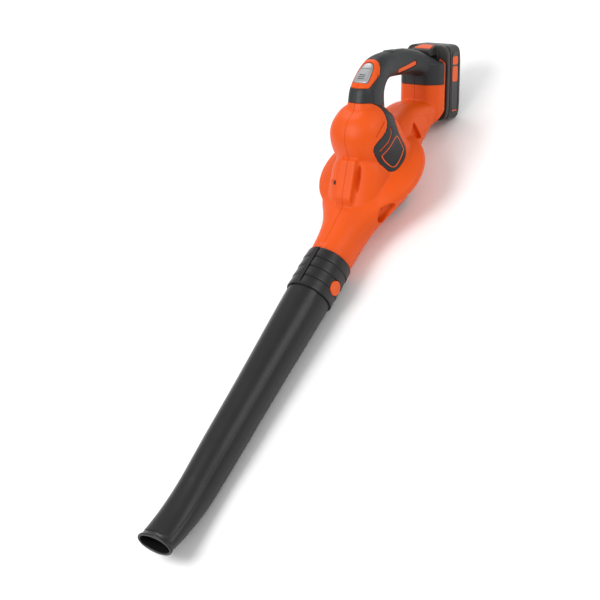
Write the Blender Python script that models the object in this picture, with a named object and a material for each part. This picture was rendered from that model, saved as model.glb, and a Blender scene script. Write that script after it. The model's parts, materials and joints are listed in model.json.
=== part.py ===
"""Cordless leaf blower: a battery sweeper with a side-by-side clamshell housing, a centrifugal
fan under a motor bulge, a looped grip and a straight clip-on blow tube.

Frames, all in metres:
  tool frame  x runs back from the rear edge of the tube collar, y to the tool's right,
              z up from the blow tube's axis; the tube lies level.
  grip frame  the tool frame turned about Y by GRIP_TILT, so the handle lies level in it and the
              battery stands upright; its origin is on top of the neck's front edge.
The finished tool lies on the battery's lower edge and the tube, as on a bench, with the origin
at the bottom centre of its box.
"""
import math

import bmesh
import bpy
from mathutils import Matrix, Vector
from mathutils.bvhtree import BVHTree

# ------------------------------------------------------------------ driving dimensions
GAP = 0.0003                 # clearance between touching pieces
WALL = 0.0032                # housing wall, soft layer included
OVERMOULD = 0.0016           # thickness of the soft grip layer
BADGE_THICKNESS = 0.0012
BIG = 0.5                    # half size of cutting blocks
SLIVER = 0.000004            # edges shorter than this are welded away

# blow tube, straight run then an upswept flat nozzle
COLLAR_LENGTH = 0.064
COLLAR_RADIUS = 0.0333
COLLAR_RINGS = 4
RING_STEP = 0.0009           # how far each ring's front edge stands above the next ring
TUBE_REAR_RADIUS = 0.0322
TUBE_FRONT_RADIUS = 0.0263
TUBE_STRAIGHT_END = 0.366    # distance ahead of the collar's rear edge
TUBE_WALL = 0.0022
NOZZLE_LENGTH = 0.105
NOZZLE_HALF_WIDTH = 0.0275
NOZZLE_HALF_HEIGHT = 0.0145
NOZZLE_RISE = 0.0183
NOZZLE_TILT = math.radians(20)
LIP_HEIGHT = 0.0016
LIP_LENGTH = 0.004

# neck and its spigot inside the collar
SPIGOT_RADIUS = 0.0272
SPIGOT_LENGTH = 0.056
SPIGOT_WALL = 0.0024
NECK_RADIUS = 0.0310
NECK_TOP = 0.0300            # height of the grip frame's origin above the tube axis

# fan case ("saucer") and motor bulge
FAN_X = 0.150
CASE_RADIUS = 0.0815
CASE_RIM_LOW = 0.0145
CASE_RIM_HIGH = 0.0210
BELLY_DEPTH = 0.030          # belly face below the tube axis
BELLY_RADIUS = 0.038
CASE_CROWN = 0.040           # height of the case's top where the bulge stands on it
BULGE_X = 0.1725
BULGE_HALF_WIDTH = 0.0480
BULGE_TOP = 0.119
RIB_HALF_WIDTH = 0.0135
RIB_HEIGHT = 0.010

# fan
IMPELLER_RADIUS = 0.052
IMPELLER_TOP = 0.0205
IMPELLER_TIP_DEPTH = 0.0160  # blade height at the rim
IMPELLER_EYE_DEPTH = 0.0300  # blade height at the eye
BLADES = 9
BLADE_THICKNESS = 0.0018
INTAKE_RADIUS = 0.0335
GRILLE_THICKNESS = 0.0030
GRILLE_SLOTS = 14
DECK_HEIGHT = 0.0235         # underside of the motor deck
DECK_THICKNESS = 0.003
DECK_RADIUS = 0.064

# motor, upright on the deck
MOTOR_RADIUS = 0.0178
MOTOR_LENGTH = 0.050
MOTOR_WALL = 0.0016
MOTOR_CLEARANCE = 0.0030    # between the motor and the housing wall ahead of it
BULGE_HALF_LENGTH = BULGE_X - FAN_X + MOTOR_RADIUS + WALL + MOTOR_CLEARANCE
SHAFT_RADIUS = 0.0016
ARMATURE_RADIUS = 0.0115
ARMATURE_LENGTH = 0.030

# grip loop
GRIP_TILT = math.radians(41)
GRIP_HALF_WIDTH = 0.0168
LEG_HALF_WIDTH = 0.0225
RECEIVER_HALF_WIDTH = 0.035
RECEIVER_FACE_HALF_WIDTH = 0.018
RECEIVER_FRONT = 0.228
RECEIVER_REAR = 0.2585
RECEIVER_SHOULDER = 0.236
RECEIVER_RIDGE = 0.250

# boost button on the grip's front slope
BUTTON_CENTRE = (0.1005, 0.2330)
BUTTON_SLOPE = math.radians(46.5)
BUTTON_LENGTH = 0.036
BUTTON_HALF_WIDTH = 0.0125
BUTTON_THICKNESS = 0.0075
BUTTON_TRAVEL = 0.003

# power slide on top of the grip
SLIDER_START = 0.154
SLIDER_LENGTH = 0.028
SLIDER_HALF_WIDTH = 0.0082
SLIDER_TRAVEL = 0.006
SLIDER_PROUD = 0.0012
GRIP_TOP = 0.2588

# tube lock button on the left of the spigot
LOCK_X = -0.041
LOCK_RADIUS = 0.0105
LOCK_TRAVEL = 0.003
LOCK_SEAT = 0.0284           # inner face of the button, clear of the spigot
LOCK_CUP_FLOOR = 0.0196

# battery pack, upright in the grip frame
PACK_HALF_WIDTH = 0.037
PACK_TOP = 0.261
PACK_REAR = 0.2985
PACK_SPLIT = 0.268
PACK_WALL = 0.0024
RAIL_HALF_WIDTH = 0.0290
RAIL_MOUTH_HALF_WIDTH = 0.0250
RAIL_DEPTH = 0.0125
RAIL_LIP = 0.0045
RAIL_BOTTOM = 0.160
HEAD_TOP = 0.2618
HEAD_FRONT = 0.241
HEAD_FRONT_TOP = 0.2556
HEAD_HALF_WIDTH = 0.016
HEAD_SHOULDER = 0.0185       # half width of the cap ahead of the receiver's rear face
CELLS = 5
CELL_RADIUS = 0.0091
CELL_LENGTH = 0.065
CELL_CLEARANCE = 0.0006
CELL_PITCH = 2 * CELL_RADIUS + CELL_CLEARANCE
PACK_END = 0.0085            # shell and room beyond the row of cells, at each end
PACK_BOTTOM = PACK_TOP - CELLS * CELL_PITCH - 2 * PACK_END
LATCH_START = 0.246
LATCH_LENGTH = 0.016
LATCH_HALF_WIDTH = 0.0105
LATCH_PROUD = 0.0008
LATCH_TRAVEL = 0.002

SCREW_RADIUS = 0.0017
SCREW_HEAD_RADIUS = 0.0034
BOSS_RADIUS = 0.0048
SCREW_SINK = 0.0022          # how far a screw head lies under the surface

ORANGE = (0.90, 0.13, 0.02, 1)
CHARCOAL = (0.045, 0.045, 0.048, 1)
BLACK = (0.02, 0.02, 0.021, 1)
SILVER = (0.42, 0.43, 0.44, 1)
STEEL = (0.6, 0.6, 0.62, 1)
COPPER = (0.7, 0.3, 0.12, 1)
GREEN = (0.03, 0.22, 0.08, 1)

ROOT = None                  # set by main: the empty that carries the whole tool


# ------------------------------------------------------------------ basic helpers
def material(name, colour, roughness, metallic=0.0):
    """A plain Principled material, made once and shared."""
    found = bpy.data.materials.get(name)
    if found:
        return found
    made = bpy.data.materials.new(name)
    made.use_nodes = True
    shader = made.node_tree.nodes["Principled BSDF"]
    shader.inputs["Base Color"].default_value = colour
    shader.inputs["Roughness"].default_value = roughness
    shader.inputs["Metallic"].default_value = metallic
    return made


def grip_matrix():
    """Grip frame to tool frame."""
    return Matrix.Translation((0, 0, NECK_TOP)) @ Matrix.Rotation(GRIP_TILT, 4, "Y")


def grip_point(x, z, y=0.0):
    return grip_matrix() @ Vector((x, y, z))


def grip_direction(x, z):
    return (grip_matrix().to_3x3() @ Vector((x, 0, z))).normalized()


def add_object(name, bm, look, matrix=None):
    """Turn a bmesh into a named object under the root empty."""
    if matrix is not None:
        bm.transform(matrix)
    bmesh.ops.recalc_face_normals(bm, faces=bm.faces)
    mesh = bpy.data.meshes.new(name)
    bm.to_mesh(mesh)
    bm.free()
    made = bpy.data.objects.new(name, mesh)
    bpy.context.collection.objects.link(made)
    if look is not None:
        mesh.materials.append(material(*look))
        mesh.shade_smooth()
        mesh.set_sharp_from_angle(angle=math.radians(35))
    made.parent = ROOT
    return made


def loft(rings, bm=None):
    """Skin a list of equal rings into one closed body with flat ends."""
    bm = bm or bmesh.new()
    rows = [[bm.verts.new(point) for point in ring] for ring in rings]
    count = len(rows[0])
    for row, following in zip(rows, rows[1:]):
        for i in range(count):
            j = (i + 1) % count
            bm.faces.new((row[i], row[j], following[j], following[i]))
    bm.faces.new(rows[0])
    bm.faces.new(list(reversed(rows[-1])))
    return bm


def oval(half_width, half_height, power=2.0, count=32):
    """Points (y, h) of a superellipse; power 2 is an ellipse, more is boxier."""
    points = []
    for i in range(count):
        angle = 2 * math.pi * (i + 0.5) / count
        c, s = math.cos(angle), math.sin(angle)
        points.append((half_width * math.copysign(abs(c) ** (2 / power), c),
                       half_height * math.copysign(abs(s) ** (2 / power), s)))
    return points


def upright_ring(x, z, half_width, half_height, tilt=0.0, power=2.0, count=24):
    """A section across a path in the mid-plane; tilt leans its top towards the rear."""
    return [Vector((x + h * math.sin(tilt), y, z + h * math.cos(tilt)))
            for y, h in oval(half_width, half_height, power, count)]


def lathe(profile, count=40, centre=(0, 0)):
    """Turn a profile of (radius, height) about a vertical axis; both ends on the axis."""
    bm = bmesh.new()
    cx, cy = centre
    bottom = bm.verts.new((cx, cy, profile[0][1]))
    top = bm.verts.new((cx, cy, profile[-1][1]))
    rows = []
    for radius, height in profile[1:-1]:
        rows.append([bm.verts.new((cx + radius * math.cos(2 * math.pi * i / count),
                                   cy + radius * math.sin(2 * math.pi * i / count), height))
                     for i in range(count)])
    for i in range(count):
        j = (i + 1) % count
        bm.faces.new((bottom, rows[0][j], rows[0][i]))
        bm.faces.new((top, rows[-1][i], rows[-1][j]))
        for row, following in zip(rows, rows[1:]):
            bm.faces.new((row[i], row[j], following[j], following[i]))
    return bm


def ring_lathe(profile, count=40, centre=(0, 0)):
    """Turn a closed outline of (radius, height) into a ring."""
    bm = bmesh.new()
    cx, cy = centre
    rows = []
    for i in range(count):
        c, s = math.cos(2 * math.pi * i / count), math.sin(2 * math.pi * i / count)
        rows.append([bm.verts.new((cx + r * c, cy + r * s, h)) for r, h in profile])
    for i in range(count):
        row, following = rows[i], rows[(i + 1) % count]
        for k in range(len(profile)):
            m = (k + 1) % len(profile)
            bm.faces.new((row[k], row[m], following[m], following[k]))
    return bm


def cylinder(radius, start, end, count=24):
    """A solid cylinder between two heights on the Z axis."""
    return loft([[Vector((radius * math.cos(2 * math.pi * i / count),
                          radius * math.sin(2 * math.pi * i / count), h))
                  for i in range(count)] for h in (start, end)])


def box(low, high):
    bm = bmesh.new()
    bmesh.ops.create_cube(bm, size=1.0)
    size = Vector(high) - Vector(low)
    middle = (Vector(high) + Vector(low)) / 2
    bm.transform(Matrix.Translation(middle) @ Matrix.Diagonal((*size, 1)))
    return bm


def prism(outline, low, high):
    """Extrude an (x, z) outline along Y."""
    return loft([[Vector((x, y, z)) for x, z in outline] for y in (low, high)])


def bevelled(bm, width, segments=2, sharper_than=40):
    """Round the sharp edges of a body."""
    bmesh.ops.recalc_face_normals(bm, faces=bm.faces)
    edges = [e for e in bm.edges if e.calc_face_angle(0) > math.radians(sharper_than)]
    bmesh.ops.bevel(bm, geom=edges, offset=width, segments=segments, affect="EDGES",
                    profile=0.5, clamp_overlap=True)
    return bm


def mesh_of(bm):
    """The body as a mesh, so that it can be added to another body."""
    bmesh.ops.recalc_face_normals(bm, faces=bm.faces)
    mesh = bpy.data.meshes.new("working_mesh")
    bm.to_mesh(mesh)
    bm.free()
    return mesh


def along_y():
    """Turns a body built on +Z so that it lies on +Y."""
    return Matrix.Rotation(math.radians(-90), 4, "X")


def solid(bm, matrix=None):
    """A working body for Booleans, deleted once it has been used."""
    return add_object("working_body", bm, None, matrix)


def close_slivers(mesh):
    """Weld the hair-thin triangles a cut can leave where two surfaces nearly meet."""
    bm = bmesh.new()
    bm.from_mesh(mesh)
    bmesh.ops.remove_doubles(bm, verts=bm.verts, dist=SLIVER)
    bmesh.ops.dissolve_degenerate(bm, edges=bm.edges, dist=SLIVER)
    rim = [edge for edge in bm.edges if edge.is_boundary]
    if rim:
        bmesh.ops.holes_fill(bm, edges=rim, sides=8)
        bmesh.ops.recalc_face_normals(bm, faces=bm.faces)
    bm.to_mesh(mesh)
    bm.free()


def combine(base, operation, *tools):
    """Apply one Boolean per tool body and delete the tools."""
    for tool in tools:
        step = base.modifiers.new("step", "BOOLEAN")
        step.operation = operation
        step.solver = "EXACT"
        step.object = tool
        bpy.context.view_layer.update()
        evaluated = base.evaluated_get(bpy.context.evaluated_depsgraph_get())
        result = bpy.data.meshes.new_from_object(evaluated)
        base.modifiers.remove(step)
        close_slivers(result)
        old = base.data
        base.data = result
        bpy.data.meshes.remove(old)
        tool_mesh = tool.data
        bpy.data.objects.remove(tool)
        bpy.data.meshes.remove(tool_mesh)
    return base


def finish(base, name, look):
    """Name a Boolean result, clean it and give it its material."""
    bm = bmesh.new()
    bm.from_mesh(base.data)
    bmesh.ops.remove_doubles(bm, verts=bm.verts, dist=0.00001)
    bmesh.ops.dissolve_degenerate(bm, edges=bm.edges, dist=0.00001)
    old = base.data
    bpy.data.objects.remove(base)
    bpy.data.meshes.remove(old)
    return add_object(name, bm, look)


def copy_of(base):
    made = base.copy()
    made.data = base.data.copy()
    bpy.context.collection.objects.link(made)
    return made


def discard(piece):
    """Take a working solid out of the model."""
    mesh = piece.data
    bpy.data.objects.remove(piece)
    bpy.data.meshes.remove(mesh)


def joint_empty(name, place):
    """An empty on a joint's axis that carries the pieces that move with it."""
    made = bpy.data.objects.new(name, None)
    bpy.context.collection.objects.link(made)
    made.location = place
    made.parent = ROOT
    return made


def carry(empty, *pieces):
    for piece in pieces:
        piece.parent = empty
        piece.location = -Vector(empty.location)


# ------------------------------------------------------------------ outer form of the housing
def ring_count(count, inset):
    """Corners round a form; the hollow inside a wall can be coarser."""
    return count if inset < WALL else count // 2 + 1


def neck_form(inset):
    """Round neck at the collar that flares into the shoulders of the fan case."""
    wide = CASE_RADIUS / 0.0815
    rows = ((inset, 0.000, NECK_RADIUS, NECK_RADIUS - 0.0005), (0.030, 0.001, 0.0322, 0.0312),
            (0.052, 0.004, 0.0362 * wide, 0.0300), (0.071, 0.008, 0.0450 * wide, 0.0272),
            (0.092, 0.012, 0.0590 * wide, 0.0225), (0.112, 0.0145, 0.0690 * wide, 0.0175),
            (0.132, 0.016, 0.0740 * wide, 0.0140))
    return loft([upright_ring(x, z, half - inset, tall - inset, 0.0, 2.0 + x * 3,
                              ring_count(20, inset)) for x, z, half, tall in rows])


def case_form(inset):
    """The fan case: a lens whose rim is widest, with a small flat belly."""
    span = CASE_RADIUS - BELLY_RADIUS
    drop = CASE_RIM_LOW + BELLY_DEPTH
    profile = ((0, -BELLY_DEPTH), (BELLY_RADIUS, -BELLY_DEPTH),
               (BELLY_RADIUS + span * 0.12, -BELLY_DEPTH + drop * 0.08),
               (BELLY_RADIUS + span * 0.42, -BELLY_DEPTH + drop * 0.45),
               (BELLY_RADIUS + span * 0.70, -BELLY_DEPTH + drop * 0.74),
               (CASE_RADIUS - 0.0010, CASE_RIM_LOW), (CASE_RADIUS, CASE_RIM_HIGH),
               (CASE_RADIUS - 0.0025, CASE_RIM_HIGH + 0.0045),
               (CASE_RADIUS * 0.81, CASE_RIM_HIGH + 0.0105), (0.045, CASE_CROWN - 0.003),
               (0, CASE_CROWN))
    middle = (CASE_RIM_LOW + CASE_RIM_HIGH) / 2
    shrunk = [(max(r - inset, 0), h + inset if h < middle else h - inset) for r, h in profile]
    return lathe(shrunk, ring_count(30, inset), (FAN_X, 0))


def bulge_form(inset):
    """Egg-shaped motor cover whose foot spreads on to the fan case."""
    rows = ((0.018, -0.0165, 1.290, 1.375), (0.030, -0.0115, 1.194, 1.188),
            (0.041, -0.0045, 1.075, 1.073), (0.054, -0.0005, 1.011, 1.010),
            (0.072, 0, 1.00, 1.00), (0.090, 0, 0.93, 0.93), (0.104, 0, 0.80, 0.80),
            (0.113, 0, 0.60, 0.60), (0.1185, 0, 0.36, 0.36), (BULGE_TOP, 0, 0.12, 0.12))
    top = BULGE_TOP - inset
    rings = []
    for z, shift, long_share, wide_share in rows:
        length = max(BULGE_HALF_LENGTH * long_share - inset, 0.002)
        width = max(BULGE_HALF_WIDTH * wide_share - inset, 0.002)
        height = min(z, z if z < 0.09 else top - (BULGE_TOP - z))
        rings.append([Vector((BULGE_X + shift + a, b, height))
                      for a, b in oval(length, width, 2.3, ring_count(20, inset))])
    return loft(rings)


def shoulder_form(inset):
    """Full shoulders either side of the rib, between the neck and the motor cover."""
    rows = ((0.066, 0.0325, 0.0385), (0.085, 0.0420, 0.0430), (0.100, 0.0540, 0.0455),
            (0.115, 0.0655, 0.0470), (0.130, 0.0745, 0.0475), (0.160, 0.0750, 0.0450))
    low = -0.020
    return loft([upright_ring(x, (top + low) / 2, half - inset, (top - low) / 2 - inset, 0, 2.0,
                              ring_count(19, inset)) for x, top, half in rows])


def rib_form(inset):
    """Screw cover that stands on the front seam between neck and bulge."""
    half = RIB_HALF_WIDTH - inset
    outline = ((0.073 + inset, 0.020), (0.073 + inset, 0.037 - inset),
               (0.077 + inset, 0.041 + RIB_HEIGHT / 2 - inset),
               (0.122, 0.072 + RIB_HEIGHT / 2 - inset), (0.140, 0.072), (0.140, 0.020))
    return prism(outline, -half, half)


def strut_form(inset):
    """Lower arm from the fan case back to the battery receiver."""
    rows = ((0.180, 0.054, -0.022, 0.036), (0.220, 0.050, -0.022, 0.034),
            (0.250, 0.044, -0.021, 0.032), (0.276, 0.030, -0.019, 0.031),
            (0.296, 0.012, -0.015, 0.030))
    return loft([upright_ring(x, (top + low) / 2, half - inset, (top - low) / 2 - inset, 0, 3.2,
                              ring_count(15, inset))
                 for x, top, low, half in rows])


def grip_form(inset):
    """The grip loop: front leg, bend and handle, skinned from sections in the grip frame."""
    rows = (((0.072, 0.170), (0.136, 0.148), LEG_HALF_WIDTH + 0.004),
            ((0.077, 0.195), (0.133, 0.178), LEG_HALF_WIDTH),
            ((0.0815, 0.213), (0.131, 0.202), LEG_HALF_WIDTH - 0.001),
            ((0.097, 0.2345), (0.136, 0.214), LEG_HALF_WIDTH - 0.0025),
            ((0.118, 0.2515), (0.145, 0.2205), GRIP_HALF_WIDTH + 0.0015),
            ((0.146, 0.2585), (0.158, 0.2225), GRIP_HALF_WIDTH),
            ((0.188, 0.2605), (0.186, 0.2230), GRIP_HALF_WIDTH),
            ((0.217, 0.2575), (0.212, 0.2225), GRIP_HALF_WIDTH + 0.003),
            ((0.242, 0.2490), (0.240, 0.2150), GRIP_HALF_WIDTH + 0.009))
    rings = []
    for outer, inner, half in rows:
        outer, inner = Vector(outer), Vector(inner)
        middle, reach = (outer + inner) / 2, (outer - inner)
        up = reach.normalized()
        tall = reach.length / 2 - inset
        rings.append([Vector((middle.x + up.x * h, y, middle.y + up.y * h))
                      for y, h in oval(half - inset, tall, 2.5, ring_count(20, inset))])
    bm = loft(rings)
    bm.transform(grip_matrix())
    return bm


def receiver_plan(inset, share=1.0):
    """Plan outline (x, y) of the receiver, narrow at the grip and wide at the battery."""
    front, rear = RECEIVER_FRONT + inset, RECEIVER_REAR - inset
    face = max(RECEIVER_FACE_HALF_WIDTH * share - inset, 0.003)
    side = max(RECEIVER_HALF_WIDTH * share - inset, 0.005)
    deep = rear - front
    half = [(front, face * 0.5), (front, face), (front + deep * 0.12, face + (side - face) * 0.42),
            (front + deep * 0.45, face + (side - face) * 0.86), (front + deep * 0.75, side),
            (rear, side)]
    return [(x, y) for x, y in half] + [(x, -y) for x, y in reversed(half)]


def receiver_form(inset):
    """Upright block that takes the battery's rails, with a roof-shaped top."""
    rings = []
    slope = math.tan(GRIP_TILT)
    for z, share in ((0.140, 1.0), (0.205, 1.0), (RECEIVER_SHOULDER, 1.0),
                     (RECEIVER_RIDGE - 0.0065, 0.62), (RECEIVER_RIDGE, 0.20)):
        height = z - inset if z > 0.2 else z + inset
        lean = slope if z < 0.15 else 0.0
        rings.append([Vector((x, y, height + (x - RECEIVER_FRONT) * lean))
                      for x, y in receiver_plan(inset, share)])
    bm = loft(rings)
    bm.transform(grip_matrix())
    return bm


def whole_form(inset):
    """The tool's outer form, or its hollow when inset by the wall."""
    base = solid(neck_form(inset))
    for make in (case_form, bulge_form, shoulder_form, rib_form, strut_form, grip_form,
                 receiver_form):
        combine(base, "UNION", solid(make(inset)))
    return base


# ------------------------------------------------------------------ zones of the soft grip
GRIP_ZONE = ((0.060, 0.1935), (0.110, 0.1935), (0.122, 0.186), (0.140, 0.180), (0.160, 0.205),
             (0.222, 0.2055), (RECEIVER_REAR - 0.004, 0.2055), (RECEIVER_REAR - 0.004, 0.275),
             (0.128, 0.275), (0.117, 0.2462), (0.1035, 0.2330), (0.0945, 0.2150), (0.060, 0.2150))
BADGE_ZONE = ((0.139, 0.086), (0.163, 0.089), (0.182, 0.094), (0.199, 0.090), (0.201, 0.070),
              (0.196, 0.052), (0.186, 0.036), (0.141, 0.036))


def grown(outline, grow):
    """The outline moved out by a constant distance, with its corners mitred."""
    points = [Vector(p) for p in outline]
    ahead = points[1:] + points[:1]
    turn = sum(a.x * b.y - b.x * a.y for a, b in zip(points, ahead))
    normals = []
    for a, b in zip(points, ahead):
        along = (b - a).normalized()
        normals.append(Vector((along.y, -along.x)) * math.copysign(1, turn))
    moved = []
    for point, before, after in zip(points, normals[-1:] + normals[:-1], normals):
        corner = point + (before + after) * grow / (1 + before.dot(after))
        moved.append((corner.x, corner.y))
    return moved


def grip_zone(grow=0.0):
    """Side-view outline of the soft grip, as a block through the tool."""
    return prism(grown(GRIP_ZONE, grow), -BIG / 4, BIG / 4)


def badge_zone(side, grow=0.0):
    """Side-view outline of the badge panel on one flank (side -1 is the tool's left)."""
    low, high = sorted((side * (0.026 - grow), side * BIG / 4))
    return prism(grown(BADGE_ZONE, grow), low, high)


# ------------------------------------------------------------------ housing, grip and badges
SCREW_POINTS = (("neck_rib", 0.102, 0.048, False), ("bulge", 0.146, 0.092, False),
                ("strut", 0.256, 0.004, False), ("leg", 0.104, 0.198, True),
                ("handle", 0.200, 0.2315, True), ("receiver", 0.2368, 0.1700, True))


def screw_places():
    """Name and tool-frame (x, z) of each housing screw."""
    places = []
    for name, x, z, in_grip in SCREW_POINTS:
        place = grip_point(x, z) if in_grip else Vector((x, 0, z))
        places.append((name, place.x, place.z))
    return places


def flank(tree, x, z):
    """Half width of the form at (x, z), found from the right side."""
    hit = tree.ray_cast(Vector((x, BIG, z)), Vector((0, -1, 0)))
    return hit[0].y


def half_block(side):
    """Everything on the other side of the parting plane, for cutting a half free."""
    low, high = sorted((-side * BIG, side * GAP / 2))
    return box((-BIG, low, -BIG), (BIG, high, BIG))


def button_matrix():
    """Button frame: z out of the grip's front slope, x up the slope, at the button's centre."""
    x, z = BUTTON_CENTRE
    tip = Matrix.Translation(grip_point(x, z)) @ Matrix.Rotation(GRIP_TILT, 4, "Y")
    return tip @ Matrix.Rotation(-BUTTON_SLOPE, 4, "Y")


def button_block(grow, low, high):
    """The boost button's rounded rectangle between two heights over the slope."""
    half_long = BUTTON_LENGTH / 2 + grow
    half_wide = BUTTON_HALF_WIDTH + grow
    rings = [[Vector((a, b, h)) for a, b in oval(half_long, half_wide, 4.5, 28)]
             for h in (low, high)]
    bm = loft(rings)
    bm.transform(button_matrix())
    return bm


def slider_block(grow, extra, low, high):
    """The power slide's plate, or its slot when lengthened by the travel."""
    start = SLIDER_START - grow
    end = SLIDER_START + SLIDER_LENGTH + grow + extra
    bm = box((start, -SLIDER_HALF_WIDTH - grow, low), (end, SLIDER_HALF_WIDTH + grow, high))
    bm.transform(grip_matrix())
    return bm


def rail_block(grow, bottom, top):
    """T-shaped rail of the battery, or the receiver's channel when grown."""
    rear = RECEIVER_REAR + 0.0015
    front = RECEIVER_REAR - RAIL_DEPTH - grow
    lip = RECEIVER_REAR - RAIL_LIP + grow
    outline = ((front, -RAIL_HALF_WIDTH - grow), (lip, -RAIL_HALF_WIDTH - grow),
               (lip, -RAIL_MOUTH_HALF_WIDTH - grow), (rear, -RAIL_MOUTH_HALF_WIDTH - grow),
               (rear, RAIL_MOUTH_HALF_WIDTH + grow), (lip, RAIL_MOUTH_HALF_WIDTH + grow),
               (lip, RAIL_HALF_WIDTH + grow), (front, RAIL_HALF_WIDTH + grow))
    return loft([[Vector((x, y, z)) for x, y in outline] for z in (bottom, top)])


def spigot_bore(radius, start, end):
    return loft([upright_ring(x, 0, radius, radius) for x in (start, end)])


def make_housing():
    """Both housing halves, the soft grip halves and the badge panels."""
    outer = whole_form(0.0)
    hollow = whole_form(WALL)
    probe = bmesh.new()
    probe.from_mesh(outer.data)
    tree = BVHTree.FromBMesh(probe)
    screws = [(name, x, z, flank(tree, x, z)) for name, x, z in screw_places()]
    probe.free()

    # the receiver is hollow only in front of the rail channel
    rail_wall = box((RECEIVER_REAR - RAIL_DEPTH - 0.0035, -BIG / 4, -0.05),
                    (RECEIVER_REAR + 0.05, BIG / 4, 0.262))
    combine(hollow, "DIFFERENCE", solid(rail_wall, grip_matrix()))

    # housing body: the outer form, thinner under the soft grip and the badge panels
    body = copy_of(outer)
    grip_layer = combine(solid(grip_zone(GAP), grip_matrix()), "DIFFERENCE",
                         whole_form(OVERMOULD + GAP))
    combine(body, "DIFFERENCE", grip_layer)
    for side in (-1, 1):
        layer = combine(solid(badge_zone(side, GAP)), "DIFFERENCE",
                        whole_form(BADGE_THICKNESS + GAP))
        combine(body, "DIFFERENCE", layer)
    combine(body, "UNION", solid(spigot_bore(SPIGOT_RADIUS, -SPIGOT_LENGTH, 0.004)))
    combine(body, "DIFFERENCE", hollow)
    combine(body, "DIFFERENCE",
            solid(spigot_bore(SPIGOT_RADIUS - SPIGOT_WALL, -SPIGOT_LENGTH - 0.01, 0.02)),
            solid(cylinder(INTAKE_RADIUS + GAP, -BELLY_DEPTH - 0.01, -BELLY_DEPTH + 0.01, 32),
                  Matrix.Translation((FAN_X, 0, 0))))
    # screw bosses right across the hollow, their ends trimmed to the inside of the wall
    bosses = bmesh.new()
    for _, x, z, half in screws:
        boss = cylinder(BOSS_RADIUS, -half, half, 12)
        boss.transform(Matrix.Translation((x, 0, z)) @ along_y())
        bosses.from_mesh(mesh_of(boss))
    bosses = combine(solid(bosses), "INTERSECT", whole_form(OVERMOULD + GAP + 0.0005))
    combine(body, "UNION", bosses)

    grip = combine(copy_of(outer), "INTERSECT", solid(grip_zone(), grip_matrix()))
    combine(grip, "DIFFERENCE", whole_form(OVERMOULD))
    badges = []
    for side in (-1, 1):
        badge = combine(copy_of(outer), "INTERSECT", solid(badge_zone(side)))
        badges.append(combine(badge, "DIFFERENCE", whole_form(BADGE_THICKNESS)))
    discard(outer)

    # openings for the controls, the battery rail and the terminals
    for target in (body, grip):
        combine(target, "DIFFERENCE", solid(button_block(GAP, -0.012, 0.02)),
                solid(slider_block(GAP, SLIDER_TRAVEL, GRIP_TOP - 0.009, 0.275)),
                solid(rail_block(GAP, RAIL_BOTTOM - 0.0006, 0.275), grip_matrix()))
    window = box((RECEIVER_REAR - RAIL_DEPTH - 0.008, -0.0145 - GAP, 0.1795),
                 (RECEIVER_REAR, 0.0145 + GAP, 0.2055))
    combine(body, "DIFFERENCE", solid(window, grip_matrix()))
    combine(body, "UNION", lock_cup())
    lock = cylinder(LOCK_RADIUS + GAP, -0.04, -LOCK_CUP_FLOOR, 22)
    combine(body, "DIFFERENCE", solid(lock, Matrix.Translation((LOCK_X, 0, 0)) @ along_y()))
    for _, x, z, half in screws:
        place = Matrix.Translation((x, 0, z)) @ along_y()
        combine(body, "DIFFERENCE",
                solid(cylinder(SCREW_RADIUS + GAP, -0.007, half, 8), place),
                solid(cylinder(SCREW_HEAD_RADIUS + GAP, half - SCREW_SINK - 0.0026, BIG / 4, 12),
                      place))
        combine(grip, "DIFFERENCE",
                solid(cylinder(SCREW_HEAD_RADIUS + GAP, 0.003, BIG / 4, 12), place))

    orange = ("orange_shell", ORANGE, 0.38)
    soft = ("soft_grip", CHARCOAL, 0.62)
    for side, word in ((-1, "left"), (1, "right")):
        half = combine(copy_of(body), "DIFFERENCE", solid(half_block(side)))
        finish(half, f"housing_{word}", orange)
        half = combine(copy_of(grip), "DIFFERENCE", solid(half_block(side)))
        finish(half, f"grip_{word}", soft)
    for badge, word in zip(badges, ("left", "right")):
        finish(badge, f"badge_panel_{word}", soft)
    discard(body)
    discard(grip)

    for name, x, z, half in screws:
        shank = cylinder(SCREW_RADIUS, -0.006, half - SCREW_SINK - 0.001, 8)
        head = cylinder(SCREW_HEAD_RADIUS, half - SCREW_SINK - 0.002, half - SCREW_SINK, 12)
        place = Matrix.Translation((x, 0, z)) @ along_y()
        screw = combine(solid(shank, place), "UNION", solid(head, place))
        finish(screw, f"screw_{name}", ("screw_steel", STEEL, 0.35, 1.0))


# ------------------------------------------------------------------ blow tube
def tube_rows():
    """Centre x, centre z, half width, half height and tilt along the tube, front last."""
    rows = [(-COLLAR_LENGTH + 0.001, 0.0, TUBE_REAR_RADIUS, TUBE_REAR_RADIUS, 0.0),
            (-TUBE_STRAIGHT_END * 0.6, 0.0, (TUBE_REAR_RADIUS + 1.4 * TUBE_FRONT_RADIUS) / 2.4,
             (TUBE_REAR_RADIUS + 1.4 * TUBE_FRONT_RADIUS) / 2.4, 0.0),
            (-TUBE_STRAIGHT_END, 0.0, TUBE_FRONT_RADIUS, TUBE_FRONT_RADIUS, 0.0)]
    steps = 5
    for i in range(1, steps + 1):
        t = i / steps
        ease = t * t
        rows.append((-TUBE_STRAIGHT_END - NOZZLE_LENGTH * t, NOZZLE_RISE * ease,
                     TUBE_FRONT_RADIUS + (NOZZLE_HALF_WIDTH - TUBE_FRONT_RADIUS) * t,
                     TUBE_FRONT_RADIUS + (NOZZLE_HALF_HEIGHT - TUBE_FRONT_RADIUS) * t ** 1.3,
                     NOZZLE_TILT * t))
    return rows


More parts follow.
